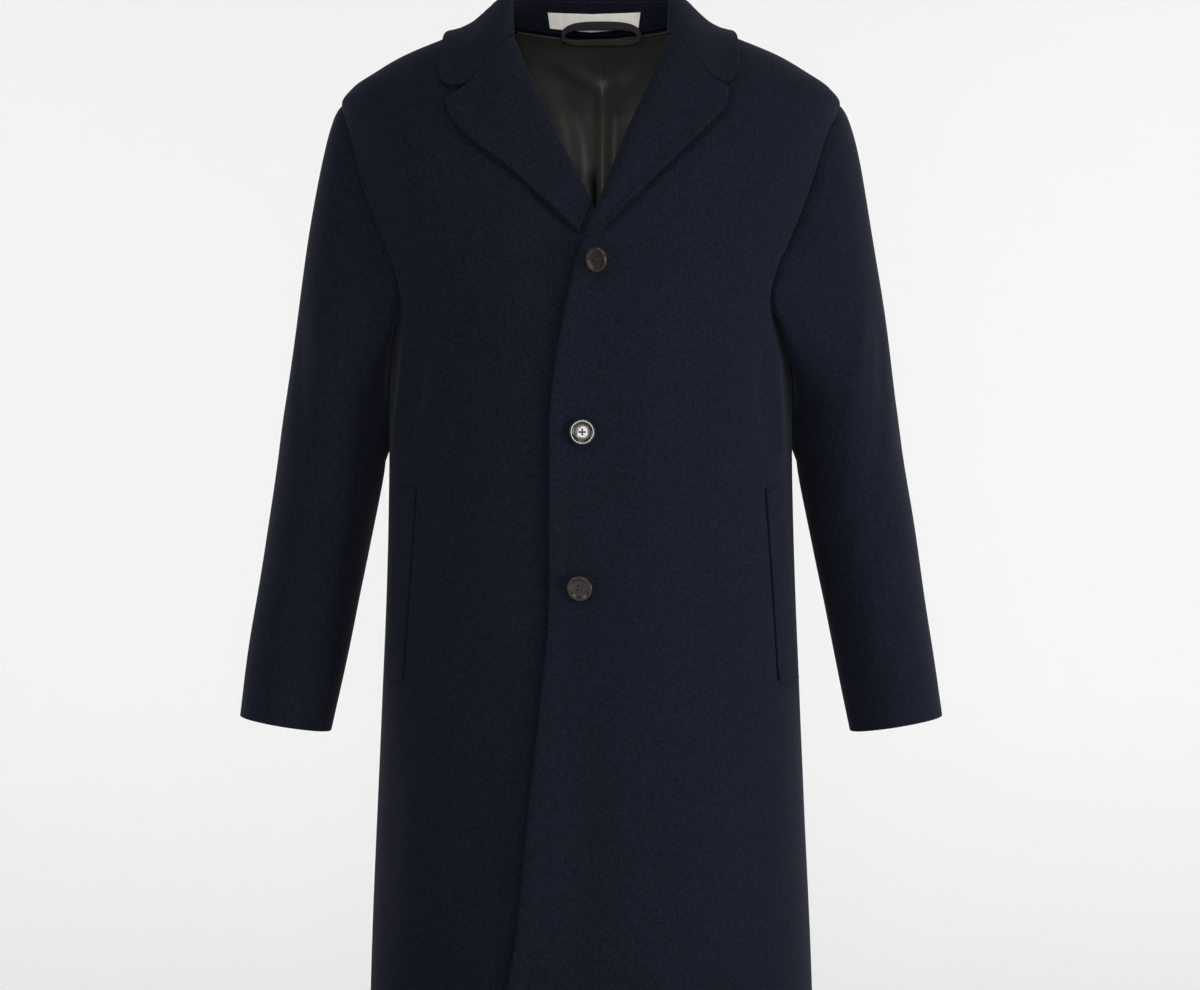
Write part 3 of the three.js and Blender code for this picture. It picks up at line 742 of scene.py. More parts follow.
LEFT_EDGE = ((-86, -1012), (-72, -926), (-60, -803), (-48, -690), (-41, -600), (-40.6, -433),
             (-37, -387), (-20, -289), (-7.5, BREAK_Z), (6.3, -207.5), (35, -134.5), (63, -71),
             (77, -33))
RIGHT_EDGE = ((10, -1012), (20, -803), (24, -600), (24, -433), (24, -300), (19, BREAK_Z),
              (2.5, -207.5), (-37, -128), (-64, -68), (-77, -33))

FRONT_FOLDS = (
    Fold(((8.6, -242.5), (28.5, -220.3), (74.5, -172.8), (118.6, -129), (136.5, -108.5),
          (139, -92)), 3.2, -2.6, 0.2),
    Fold(((-12, -240), (-40, -213.3), (-86.5, -170.8), (-120.5, -145), (-142.3, -120.3),
          (-147.6, -104)), 3.2, -2.6, 0.2),
    Fold(((121, -84.4), (132, -86.4), (143, -85.0)), 2.8, -2.4, 0.3),
    Fold(((-122.5, -89), (-134, -91.2), (-147, -89.0)), 2.8, -2.4, 0.3),
    Fold(((-186, -330), (-189, -390), (-199, -452)), 9, 4.5),
    Fold(((-172, -318), (-172, -380), (-184, -450)), 10, -3.0),
    Fold(((186, -344), (189, -398), (193, -470)), 10, 3.0),
    Fold(((170, -330), (173, -400), (178, -460)), 12, -2.5),
    Fold(((-150, -255), (-120, -330), (-98, -440)), 26, -1.6),
    Fold(((146, -262), (120, -330), (104, -420)), 24, -1.3),
    Fold(((-60, -300), (-20, -276), (4, -268)), 14, -1.3),
    Fold(((30, -262), (70, -285), (118, -330)), 16, -1.4),
    Fold(((14, -440), (60, -452), (120, -480)), 22, -1.0),
    Fold(((-30, -650), (-42, -800), (-60, -1000)), 20, 1.8),
    Fold(((-2, -640), (-10, -800), (-14, -1000)), 24, -2.2),
    Fold(((88, -560), (84, -760), (96, -1008)), 38, 2.2),
    Fold(((150, -640), (154, -800), (160, -1008)), 30, -2.4),
    Fold(((-120, -600), (-122, -800), (-136, -1008)), 34, -2.4),
    Fold(((-172, -700), (-180, -850), (-190, -1008)), 22, 2.4),
)
BACK_FOLDS = (
    Fold(((-150, -250), (-120, -350), (-96, -480)), 24, -2.2),
    Fold(((152, -245), (128, -340), (106, -450)), 26, -2.6),
    Fold(((-176, -300), (-168, -400), (-176, -500)), 14, 2.6),
    Fold(((178, -290), (170, -410), (180, -520)), 13, 3.0),
    Fold(((-90, -110), (-40, -128), (6, -126)), 22, -1.4),
    Fold(((96, -104), (50, -120), (10, -140)), 20, -1.2),
    Fold(((-70, -560), (-76, -780), (-88, -1010)), 36, 3.0),
    Fold(((-22, -620), (-18, -800), (-26, -1010)), 24, -2.6),
    Fold(((60, -540), (66, -760), (72, -1010)), 32, 3.4),
    Fold(((120, -620), (132, -820), (138, -1010)), 28, -3.0),
    Fold(((-140, -640), (-150, -820), (-158, -1010)), 26, -2.4),
)


@dataclass
class BodyPanels:
    """The four panels of the body."""

    underarm_z: float = -334.0
    skirt_rows: int = 9  # rows of the part's own grid, which fix how z runs up a panel
    armhole_rows: int = 10
    back_seam_share: float = 0.6
    column: float = 3.4  # spacing across a panel
    turn_up: float = 42.0  # depth of the hem's turn-up inside
    swell: float = 3.6  # how far the side stands out below the armhole, where the arm hangs
    swell_z: float = -395.0
    swell_height: float = 46.0
    swell_angle: float = 12.0
    width: float = 300.0  # usual width of a panel
    upper_height: float = 340.0  # usual length of a panel beside its armhole
    upper_cell: float = 4.0
    fade: float = 30.0  # how far from the side and top seams the folds die out
    hem_cloth: float = 1.6  # extra thickness of the turned-up hem
    facing_cloth: float = 1.4  # extra thickness of the facing
    crowding: float = 1.35  # how much closer the front edge's points stand towards the neck
    facing: float = 85.0  # width of the facing inside a front edge
    edge_lift: float = 2.4  # how far the left front's free edge springs off the right one
    press: float = 2.6  # how far the right front is pressed in along that edge
    recess: float = 1.35  # degrees that a front stops short of its roll, for the turned cloth

    def __post_init__(self) -> None:
        """Work out where the armhole starts in a panel's height."""
        self.split = self.skirt_rows / (self.skirt_rows + self.armhole_rows)

    def side_edge(self, v: Array, column: int) -> Array:
        """The side seam and armhole as bearing and height."""
        rise = np.clip((v - self.split) / (1 - self.split), 0, 1)
        bearing, z = armhole_at(rise, column)
        below = v <= self.split
        low = lerp(HEM_Z, self.underarm_z, np.clip(v / self.split, 0, 1))
        return np.stack([np.where(below, 0, bearing), 0 * v, np.where(below, low, z)], -1)

    def front_edge(self, v: Array, side: Side) -> Array:
        """A front's inner edge as bearing and height: edge, roll and neck seam."""
        rows = np.array(LEFT_EDGE if side is Side.LEFT else RIGHT_EDGE, float)
        on = FORM.straight(np.abs(rows[:, 0]), rows[:, 1])
        bearing = np.degrees(np.arctan2(-on[:, 1], rows[:, 0] * side.value))
        neck = np.array([-26.0, -13.0, 0.0])
        at = Table([*rows[:, 1], *neck_z(neck)], [*bearing, *-neck])
        rise = np.clip((v - self.split) / (1 - self.split), 0, 1)
        z = np.where(v <= self.split, lerp(HEM_Z, self.underarm_z, v / self.split),
                     lerp(self.underarm_z, NECK_SIDE_Z, 1 - (1 - rise) ** self.crowding))
        start = BREAK_Z if side is Side.LEFT else RIGHT_BREAK_Z
        recess = self.recess * smoothstep(z, start - 4, start + 8) * (1 - smoothstep(z, -40, -30))
        return np.stack([at(z) - recess, 0 * v, z], -1)

    def back_edge(self, v: Array) -> Array:
        """The centre back seam and back neck as bearing and height."""
        rise = np.clip((v - self.split) / (1 - self.split), 0, 1)
        turn = np.clip((rise - self.back_seam_share) / (1 - self.back_seam_share), 0, 1)
        bearing = 90 * (1 - turn)
        low = np.where(v <= self.split, lerp(HEM_Z, self.underarm_z, v / self.split),
                       lerp(self.underarm_z, NECK_BACK_Z, rise / self.back_seam_share))
        return np.stack([bearing, 0 * v, np.where(turn > 0, neck_z(bearing), low)], -1)

    def build(self, side: Side, face: Face) -> bpy.types.Object:
        """One panel.

        Args:
            side: its side of the coat.
            face: front or back.

        Returns:
            The panel's piece.
        """
        u = spaced(self.width, self.column)
        skirt = spaced(self.underarm_z - HEM_Z, CELL, end=False) * self.split
        upper = spaced(self.upper_height, self.upper_cell, start=False)
        upper = self.split + upper * (1 - self.split)
        v = np.concatenate([skirt, upper[1:]])
        front_column = LEFT_COLUMN if side is Side.LEFT else RIGHT_COLUMN
        column = BACK_COLUMN if face is Face.BACK else front_column
        inner = self.back_edge(v) if face is Face.BACK else self.front_edge(v, side)
        outer = self.side_edge(v, column)
        hem = np.stack([lerp(inner[0, 0], 0, u), 0 * u, 0 * u + HEM_Z], -1)
        shoulder = np.stack([0 * u, 0 * u, lerp(NECK_SIDE_Z, SHOULDER_Z, u)], -1)
        flat = patch(u, v, hem, shoulder, inner, outer)
        base = FORM.bearing(face.value * flat[..., 0], flat[..., 2])
        base[..., 0] *= side.value
        base = drawn_in(base)
        height = lap_height(base) if (side, face) == (Side.LEFT, Face.FRONT) else 0.0
        folds, seed = ((FRONT_FOLDS, FRONT_SEED) if face is Face.FRONT
                       else (BACK_FOLDS, BACK_SEED))
        ease = folded(base, folds, face) + slack(base, seed, PANEL_SLACK)
        from_edge = np.cumsum(np.linalg.norm(
            np.diff(base, axis=1, prepend=base[:, :1]), axis=-1), axis=1)
        if (side, face) == (Side.LEFT, Face.FRONT):
            free = 1 - smoothstep(base[..., 2], BREAK_Z - 14, BREAK_Z + 2)
            height = height + self.edge_lift * free * (1 - smoothstep(from_edge, 2, 22))
        elif (side, face) == (Side.RIGHT, Face.FRONT):
            edge = Table([z for _, z in LEFT_EDGE], [x for x, _ in LEFT_EDGE])(base[..., 2])
            below = 1 - smoothstep(base[..., 2], BREAK_Z - 10, BREAK_Z + 4)
            height = height - self.press * below * (
                1 - smoothstep(edge - base[..., 0], 2.0, 8.0))
        aside = np.degrees(np.arctan2(np.abs(base[..., 1]), np.abs(base[..., 0])))
        height = height + self.swell * np.exp(
            -((base[..., 2] - self.swell_z) / self.swell_height) ** 2
            - (aside / self.swell_angle) ** 2)
        near = edge_share(base, (0, self.fade, 0, self.fade))
        height = height + ease * (near - EDGE_SHARE) / (1 - EDGE_SHARE)
        doubled = self.hem_cloth * (1 - smoothstep(base[..., 2], HEM_Z + self.turn_up,
                                        HEM_Z + self.turn_up + 3))
        if face is Face.FRONT:
            inside = smoothstep(from_edge, 6, 12)
            doubled = np.maximum(doubled, self.facing_cloth * inside * (
                1 - smoothstep(from_edge, self.facing, self.facing + 3)))
        outer_face = FORM.at(base, height)
        inner_face = FORM.at(base, height - WALL - doubled)
        front = EDGE_ROUND if face is Face.FRONT else SEAM_ROUND
        rounds = (EDGE_ROUND, SEAM_ROUND, front, SEAM_ROUND)
        name = f"{face.name.lower()}_{side.label}"
        piece = shell(f"{name}_cloth", *rounded(outer_face, inner_face, rounds))
        return WARDROBE.dress(piece, MELTON, "melton", name)

    def make(self) -> list[bpy.types.Object]:
        """All four panels."""
        made = []
        for face in Face:
            for side in Side:
                piece = self.build(side, face)
                made.append(piece)
        return made


def armhole_at(rise: Array, column: int) -> tuple[Array, Array]:
    """Bearing and height on the armhole, from the side seam (0) up to the shoulder (1)."""
    rows = np.arange(len(ARMHOLE), dtype=float)
    row = (1 - np.asarray(rise, float)) * (len(ARMHOLE) - 1)
    return Table(rows, ARMHOLE[:, column])(row), Table(rows, ARMHOLE[:, 0])(row)


# ---------------------------------------------------------------- sleeves


# x, y, z of the arm's axis, then half-sizes across and front to back
ARM = np.array([
    (262.5, 4, -420, 53.5, 76), (267, 5, -460, 54.5, 73), (281, 3, -544, 53.3, 68),
    (291.5, -3, -606, 51.5, 63), (302, -13, -668, 50, 58), (312, -25, -731, 47.6, 53),
], float)


@dataclass
class Sleeve:
    """One two-piece sleeve, from its armhole to an open cuff."""

    side: Side
    lean: float = 9.5  # degrees that the cuff's plane tips down towards the body
    clearance: float = 2.6
    around: int = 120
    front_seam: float = 8 / 20  # share round from the top of the arm, over the front
    back_seam: float = 14 / 20
    turn_up: float = 38.0
    turned_cloth: float = 1.6  # extra thickness of the turned-up cuff
    cap: float = 300.0  # length of the cap
    length: float = 311.0  # from the cap to the cuff
    cell: float = 5.5
    # degrees round from the top of the arm and how far down, then width and height
    folds: tuple[tuple[tuple[Pair, ...], float, float], ...] = (
        (((50, 0.62), (78, 0.86), (96, 1.1)), 10, 3.2),
        (((28, 0.70), (52, 0.98), (70, 1.25)), 12, -2.4),
        (((338, 0.78), (352, 0.96), (360, 1.12)), 14, 0.8),
        (((176, 0.70), (180, 0.90), (184, 1.1)), 34, 7.0),
        (((118, 0.72), (132, 1.0), (138, 1.3)), 9, -2.6),
        (((100, 1.18), (122, 1.3), (150, 1.38)), 10, 2.4),
        (((60, 1.3), (84, 1.42), (120, 1.5)), 13, -2.2),
        (((250, 0.8), (262, 1.1), (270, 1.4)), 16, 3.2),
        (((220, 0.7), (236, 1.0), (240, 1.25)), 14, -3.0),
        (((292, 1.1), (270, 1.3), (240, 1.42)), 14, 2.8),
        (((300, 1.35), (272, 1.5), (246, 1.6)), 12, -2.6),
        (((70, 1.6), (92, 1.75), (110, 1.92)), 14, -1.6),
    )

    def arm_ring(self, z: float, turn: Array) -> Array:
        """Points of the sleeve below the armhole, at turns from the top of the arm."""
        x, y, across, deep = (Table(ARM[:, 2], ARM[:, k])(z) for k in (0, 1, 3, 4))
        lean = math.radians(self.lean)
        out = across * np.cos(turn)
        return np.stack([x + out * math.cos(lean), y - deep * np.sin(turn),
                         z + out * math.sin(lean)], -1)

    def surface(self, turn: Array) -> tuple[Array, Array]:
        """Rings of the sleeve's shape at turns, on the left, and how far down each is.

        Args:
            turn: angles from the top of the arm, over the front.

        Returns:
            The rings, and a number for each: 0 to 1 in the cap, 1 to 2 in the arm.
        """
        key = LEFT_COLUMN if self.side is Side.LEFT else RIGHT_COLUMN
        share = np.mod(turn / (2 * np.pi), 1.0)
        front = share <= 0.5
        rise = np.where(front, 1 - 2 * share, 2 * share - 1)
        ahead, z = armhole_at(rise, key)
        behind, _ = armhole_at(rise, BACK_COLUMN)
        start = FORM.at(FORM.bearing(np.where(front, -ahead, behind), z), -0.2 + 0 * z)
        end = self.arm_ring(ARM[0, 2], turn)
        reach = np.linalg.norm(end - start, axis=1)[:, None]
        leave = np.stack([39 + 31 * np.cos(turn), -42 * np.sin(turn), -50 + 0 * turn], -1)
        arrive = np.array([0.14, 0, -1]) * reach
        down = np.concatenate([spaced(self.cap, self.cell, end=False),
                               1 + spaced(self.length, self.cell, start=False)[1:]])
        rings = []
        for t in down:
            if t <= 1:
                rest = 1 - t
                ring = (start * (1 + 2 * t) * rest ** 2 + leave * t * rest ** 2
                        + end * t * t * (3 - 2 * t) - arrive * t * t * rest)
            else:
                ring = self.arm_ring(lerp(ARM[0, 2], ARM[-1, 2], t - 1), turn)
            ready = float(smoothstep(t, 0, 0.12))
            rings.append(start if t == 0 else FORM.clear(
                ring, lerp(-0.2, self.clearance, ready), 0.1 + 2.9 * ready))
        return np.stack(rings), down

    def relief(self, rings: Array, down: Array, turn: Array) -> Array:
        """Heights of the sleeve's folds."""
        total = np.zeros(rings.shape[:2])
        degrees = np.degrees(turn)
        for line, width, height in self.folds:
            shown = Path([(a, t * self.cap) for a, t in line], 8)(np.linspace(0, 1, 12))
            points = []
            for a, _, t in shown:
                i = int(np.argmin(np.abs(np.mod(degrees - a + 180, 360) - 180)))
                j = int(np.argmin(np.abs(down * self.cap - t)))
                points.append(rings[j, i])
            kept = [p for k, p in enumerate(points) if k == 0 or
                    np.linalg.norm(p - points[k - 1]) > 1e-3]
            total += Fold((), width, height).on(rings, np.array(kept))
        return total

    def make(self) -> list[bpy.types.Object]:
        """Top sleeve and under sleeve."""
        turn = np.linspace(0, 2 * np.pi, self.around, endpoint=False)
        rings, down = self.surface(turn)
        normals = grid_normals(rings, wraps=True)
        for _ in range(3):
            normals = unit(normals * 2 + np.roll(normals, 1, 1) + np.roll(normals, -1, 1))
        if normals[len(down) // 2, 0, 0] < 0:
            normals = -normals
        fade = smoothstep(down, 0.05, 0.4)[:, None]
        uneven = slack(rings, 21 + self.side.value, 0.6, 110)
        lift = (self.relief(rings, down, turn) + uneven) * fade
        shape = rings + normals * lift[..., None]
        start = 2 - self.turn_up / self.length
        doubled = self.turned_cloth * smoothstep(down, start - 0.01, start)
        inside = shape - normals * (WALL + doubled[:, None, None])
        made = []
        parts = (("top", self.back_seam - 1, self.front_seam, 410, (0.29, 0.66), 0.165),
                 ("under", self.front_seam, self.back_seam, 110, (0.15, 0.45), 0.055))
        for name, first, last, width, flat, area in parts:
            share = lerp(first, last, spaced(width, CELL))
            faces = []
            for layer in (shape, inside):
                place = np.mod(share, 1.0) * self.around
                low = np.floor(place).astype(int) % self.around
                part = (place - np.floor(place))[None, :, None]
                cut = layer[:, low] * (1 - part) + layer[:, (low + 1) % self.around] * part
                cut[..., 0] *= self.side.value
                faces.append(drawn_in(cut))
            rounds = (SEAM_ROUND, EDGE_ROUND, SEAM_ROUND, SEAM_ROUND)
            piece = shell(f"sleeve_{self.side.label}_{name}_cloth", *rounded(*faces, rounds))
            WARDROBE.dress(piece, MELTON, "melton", f"sleeve_{self.side.label}_{name}")
            made.append(piece)
        return made


# ---------------------------------------------------------------- lapels and collar

ROLL_HEIGHT = 2.6  # how far a turned-back piece stands off behind its roll


def roll_shape(u: Array) -> Array:
    """How far a turned-back piece stands off, from its fold (0) to its edge (1)."""
    return ROLL_HEIGHT * np.sin(np.pi * np.sqrt(np.clip(u, 0, 1)))


@dataclass
class Lapel:
    """One lapel, turned back from its roll on to the front."""

    side: Side
    roll: tuple[tuple[float, float], ...]
    outer: tuple[tuple[float, float], ...]
    gorge: tuple[tuple[float, float], ...]
    edge_lift: float = 2.4  # how far the outer edge springs off the front

    def make(self) -> list[bpy.types.Object]:
        """The lapel."""
        roll, outer, gorge = Path(self.roll), Path(self.outer), Path(self.gorge)
        v = spaced(230, 3.0)
        u = spaced(62, 3.0, start=False)
        foot = lerp(roll(0.0)[None], outer(0.0)[None], u[:, None])
        first = patch(u, v, foot, gorge(u), roll(v), outer(v))
        width = np.linalg.norm(np.diff(first, axis=1), axis=-1).sum(1)
        inset = (TURN_RADIUS / np.maximum(width, 8))[:, None]
        whole = np.clip(inset + u[None] * (1 - inset), 0, 1)
        flat = np.stack([np.stack([np.interp(whole[j], u, first[j, :, k]) for k in range(3)], -1)
                         for j in range(len(v))])
        base = drawn_in(FORM.straight(flat[..., 0], flat[..., 2]))
        lap = lap_height(base) if self.side is Side.LEFT else 0.0
        ramp = np.minimum(1, 4 * v)[:, None]
        edge = self.edge_lift * smoothstep(u, 0.72, 1.0)[None] * np.minimum(1, 9 * v)[:, None]
        lift = lap + LIE + roll_shape(u)[None] * ramp + edge + slack(base, 31, 0.25, 90)
        face = FORM.at(base, lift + WALL)
        under = FORM.at(base, lift)
        normal = unit(face[:, 0] - under[:, 0])
        away = face[:, 0] - face[:, 1]
        away = unit(away - normal * (away * normal).sum(-1, keepdims=True))
        rolled = turned(face[:, 0], normal, away, TURN_RADIUS, np.full(len(v), np.pi), 0.0)
        faces = [np.concatenate([np.swapaxes(roll_rows[1:], 0, 1), layer], axis=1)
                 for roll_rows, layer in zip(rolled, (face, under))]
        rounds = (EDGE_ROUND, SEAM_ROUND, 0.0, EDGE_ROUND)
        name = f"lapel_{self.side.label}"
        piece = shell(f"{name}_cloth", *rounded(*faces, rounds))
        WARDROBE.dress(piece, MELTON, "melton", name)
        return [piece]


@dataclass
class Collar:
    """Fall and stand of the collar."""

    # the fold from the gorge to the centre back, and the two sides' outer edges and gorges
    fold: tuple[Triple, ...] = (
        (77.5, -64, -31), (80, -38, -3), (83, -4, 21), (68, 38, 29), (38, 64, 34), (0, 72, 36))
    left_edge: tuple[Triple, ...] = (
        (140.5, -84, -82.5), (145.8, -80, -76), (148.5, -60, -52), (144, -4, -24),
        (122, 58, -34), (64, 90, -38), (0, 96, -39))
    right_edge: tuple[Triple, ...] = (
        (144, -84, -86.8), (150.5, -80, -80), (151, -58, -50), (145, -4, -24),
        (122, 58, -34), (64, 90, -38), (0, 96, -39))
    left_gorge: tuple[Pair, ...] = (
        (77.5, -33.5), (90, -43.1), (106, -62.1), (121.5, -79.6), (124.5, -81.8),
        (132, -83.2), (140.5, -82.5))
    right_gorge: tuple[Pair, ...] = (
        (77.5, -33.5), (90, -46.6), (107, -66.1), (122.5, -84.3), (125.5, -86.6),
        (134, -88.2), (144, -86.8))
    back: tuple[Triple, ...] = ((0, 72, 36), (0, 83, 22), (0, 91, -8), (0, 96, -39))
    edge_lift: float = 1.8  # how far the leaf's edge springs off the body
    tuck: float = 4.0  # how far below the fold the stand stops
    stand_front: float = 0.0  # bearing where the stand starts

    def half_fall(self, side: Side, t: Array, v: Array) -> Array:
        """Outer face of the fall over one half, rows by t and columns by v."""
        left = side is Side.LEFT
        gorge = Path(self.left_gorge if left else self.right_gorge)(t)
        on = FORM.at(FORM.straight(gorge[:, 0], gorge[:, 2]), LIE + WALL + roll_shape(t))
        edge = Path(self.left_edge if left else self.right_edge)
        grid = patch(t, v, on, Path(self.back)(t), Path(self.fold)(v), edge(v))
        clear = FORM.clear(grid, LIE + WALL, (0.2 + 1.8 * smoothstep(v, 0, 0.3))[:, None])
        clear[..., 0] *= side.value
        return np.swapaxes(clear, 0, 1)

    def make_fall(self) -> bpy.types.Object:
        """The fall, one piece all round, rolled over the fold."""
        t = spaced(76, 3.5, start=False)
        v = spaced(190, 3.5, end=False)
        right = self.half_fall(Side.RIGHT, t, v)
        left = self.half_fall(Side.LEFT, t, v)[:, ::-1]
        face = np.concatenate([right, left[:, 1:]], axis=1)
        normals = grid_normals(face)
        for _ in range(4):
            normals[:, 1:-1] = unit(normals[:, 1:-1] * 2 + normals[:, 2:] + normals[:, :-2])
        if normals[0, normals.shape[1] // 2, 2] < 0:
            normals = -normals
        spring = self.edge_lift * smoothstep(t, 0.8, 1.0)[:, None]
        leaf = self.edge_lift * (smoothstep(t, 0.62, 0.72)[:, None]
                                 * (1 - smoothstep(np.abs(face[..., 2] + 84), 2, 12))
                                 * (face[..., 1] < -60))
        lift = slack(face, 41, 0.3, 80) * np.minimum(t * 4, 1)[:, None]
        face = face + normals * (lift + np.maximum(spring, leaf))[..., None]
        under = FORM.clear(face - normals * WALL, LIE, 0.5)
        away = unit(face[0] - face[1])
        away = unit(away - normals[0] * (away * normals[0]).sum(-1, keepdims=True))
        axis = unit(face[0] * np.array([-1, -1, 0]))
        end = np.arctan2((axis * away).sum(-1), (axis * normals[0]).sum(-1))
        end = np.clip(end, math.radians(100), math.radians(175))
        rolled = turned(face[0], normals[0], away, TURN_RADIUS, end, 2.2)
        faces = [np.concatenate([rows, layer]) for rows, layer in zip(rolled, (face, under))]
        rounds = (0.0, EDGE_ROUND, SEAM_ROUND, SEAM_ROUND)
        piece = shell("collar_fall_cloth", *rounded(drawn_in(faces[0]), drawn_in(faces[1]),
                                                    rounds))
        WARDROBE.dress(piece, MELTON, "melton", "collar_fall")
        return piece

    def stand_points(self, around: Array, up: Array, inwards: Array) -> Array:
        """Points of the stand: around from -1 to 1, up from 0 to 1, and inwards in mm."""
        around, up = np.broadcast_arrays(np.asarray(around, float), np.asarray(up, float))
        bearing = lerp(90, self.stand_front, np.abs(around))
        seam = FORM.bearing(bearing, neck_z(bearing)) + np.array([0, 0, 2 * SEAM])
        fold = Path(self.fold)((bearing - NECK_FRONT) / (90 - NECK_FRONT))
        fold = fold - np.array([0, 0, self.tuck])
        p = lerp(seam, fold, up[..., None])
        axis = unit(p * np.array([-1, -1, 0]))
        p = p + axis * (SEAM + 0.4 + np.asarray(inwards, float) + 0 * up)[..., None]
        p[..., 0] *= np.where(around < 0, -1, 1)
        return p

    def make_stand(self) -> bpy.types.Object:
        """The stand inside the back neck, dipped a little where its double row of stitches runs.
        """
        around = spaced(240, 3.0) * 2 - 1
        up = spaced(50, 2.5)
        mesh = np.meshgrid(around, up)
        quilt = 0.35 * np.exp(-((mesh[1] - 0.80) * 50 / 1.1) ** 2)
        layers = [drawn_in(self.stand_points(*mesh, inwards)) for inwards in (0, WALL - quilt)]
        piece = shell("collar_stand_cloth", *rounded(*layers, (1.2, 0.8, 2.0, 2.0)))
        WARDROBE.dress(piece, MELTON, "melton", "collar_stand")
        return piece

    def make_stitches(self) -> bpy.types.Object:
        """The double row of stitches along the stand."""
        lines = []
        for up in (0.76, 0.86):
            around = np.linspace(-0.93, 0.93, 160)
            lines.append(self.stand_points(around, np.full(160, up), WALL + 0.12))
        piece = stitch_rows("collar_stitches", lines, 2.4, 0.9, 0.32)
        return WARDROBE.dress(piece, THREAD, "satin")

    def make(self) -> list[bpy.types.Object]:
        """The collar's pieces."""
        return [self.make_fall(), self.make_stand(), self.make_stitches()]


def stitch_rows(name: str, lines: Sequence[Array], length: float, gap: float,
                radius: float) -> bpy.types.Object:
    """Rows of stitches as one piece.

    Args:
        name: the piece's name.
        lines: points that each row follows.
        length: length of a stitch.
        gap: space between two.
        radius: half the thread's thickness.

    Returns:
        The piece.
    """
    profile = ((-0.5, 0.35), (-0.42, 0.8), (-0.2, 1.0), (0.2, 1.0), (0.42, 0.8), (0.5, 0.35))
    turns = np.arange(8) * np.pi / 4
    points, faces = [], []
    for line in lines:
        size = np.concatenate([[0], np.cumsum(np.linalg.norm(np.diff(line, axis=0), axis=1))])
        for start in np.arange(gap, size[-1] - length, length + gap):
            a, b = (np.array([np.interp(s, size, line[:, k]) for k in range(3)])
                    for s in (start, start + length))
            way = unit(b - a)
            side = unit(np.cross(way, np.array([0.1, 0.3, 0.9])))
            other = np.cross(way, side)
            rings = np.stack([
                (a + b) / 2 + way * length * s + radius * r * (
                    np.cos(turns)[:, None] * side + np.sin(turns)[:, None] * other)
                for s, r in profile])
            offset = sum(len(p) for p in points)
            points.append(rings.reshape(-1, 3))
            faces.append(tube_faces(*rings.shape[:2], closed=False) + offset)
    return mesh_object(name, np.concatenate(points), np.concatenate(faces))


# ---------------------------------------------------------------- inside back neck


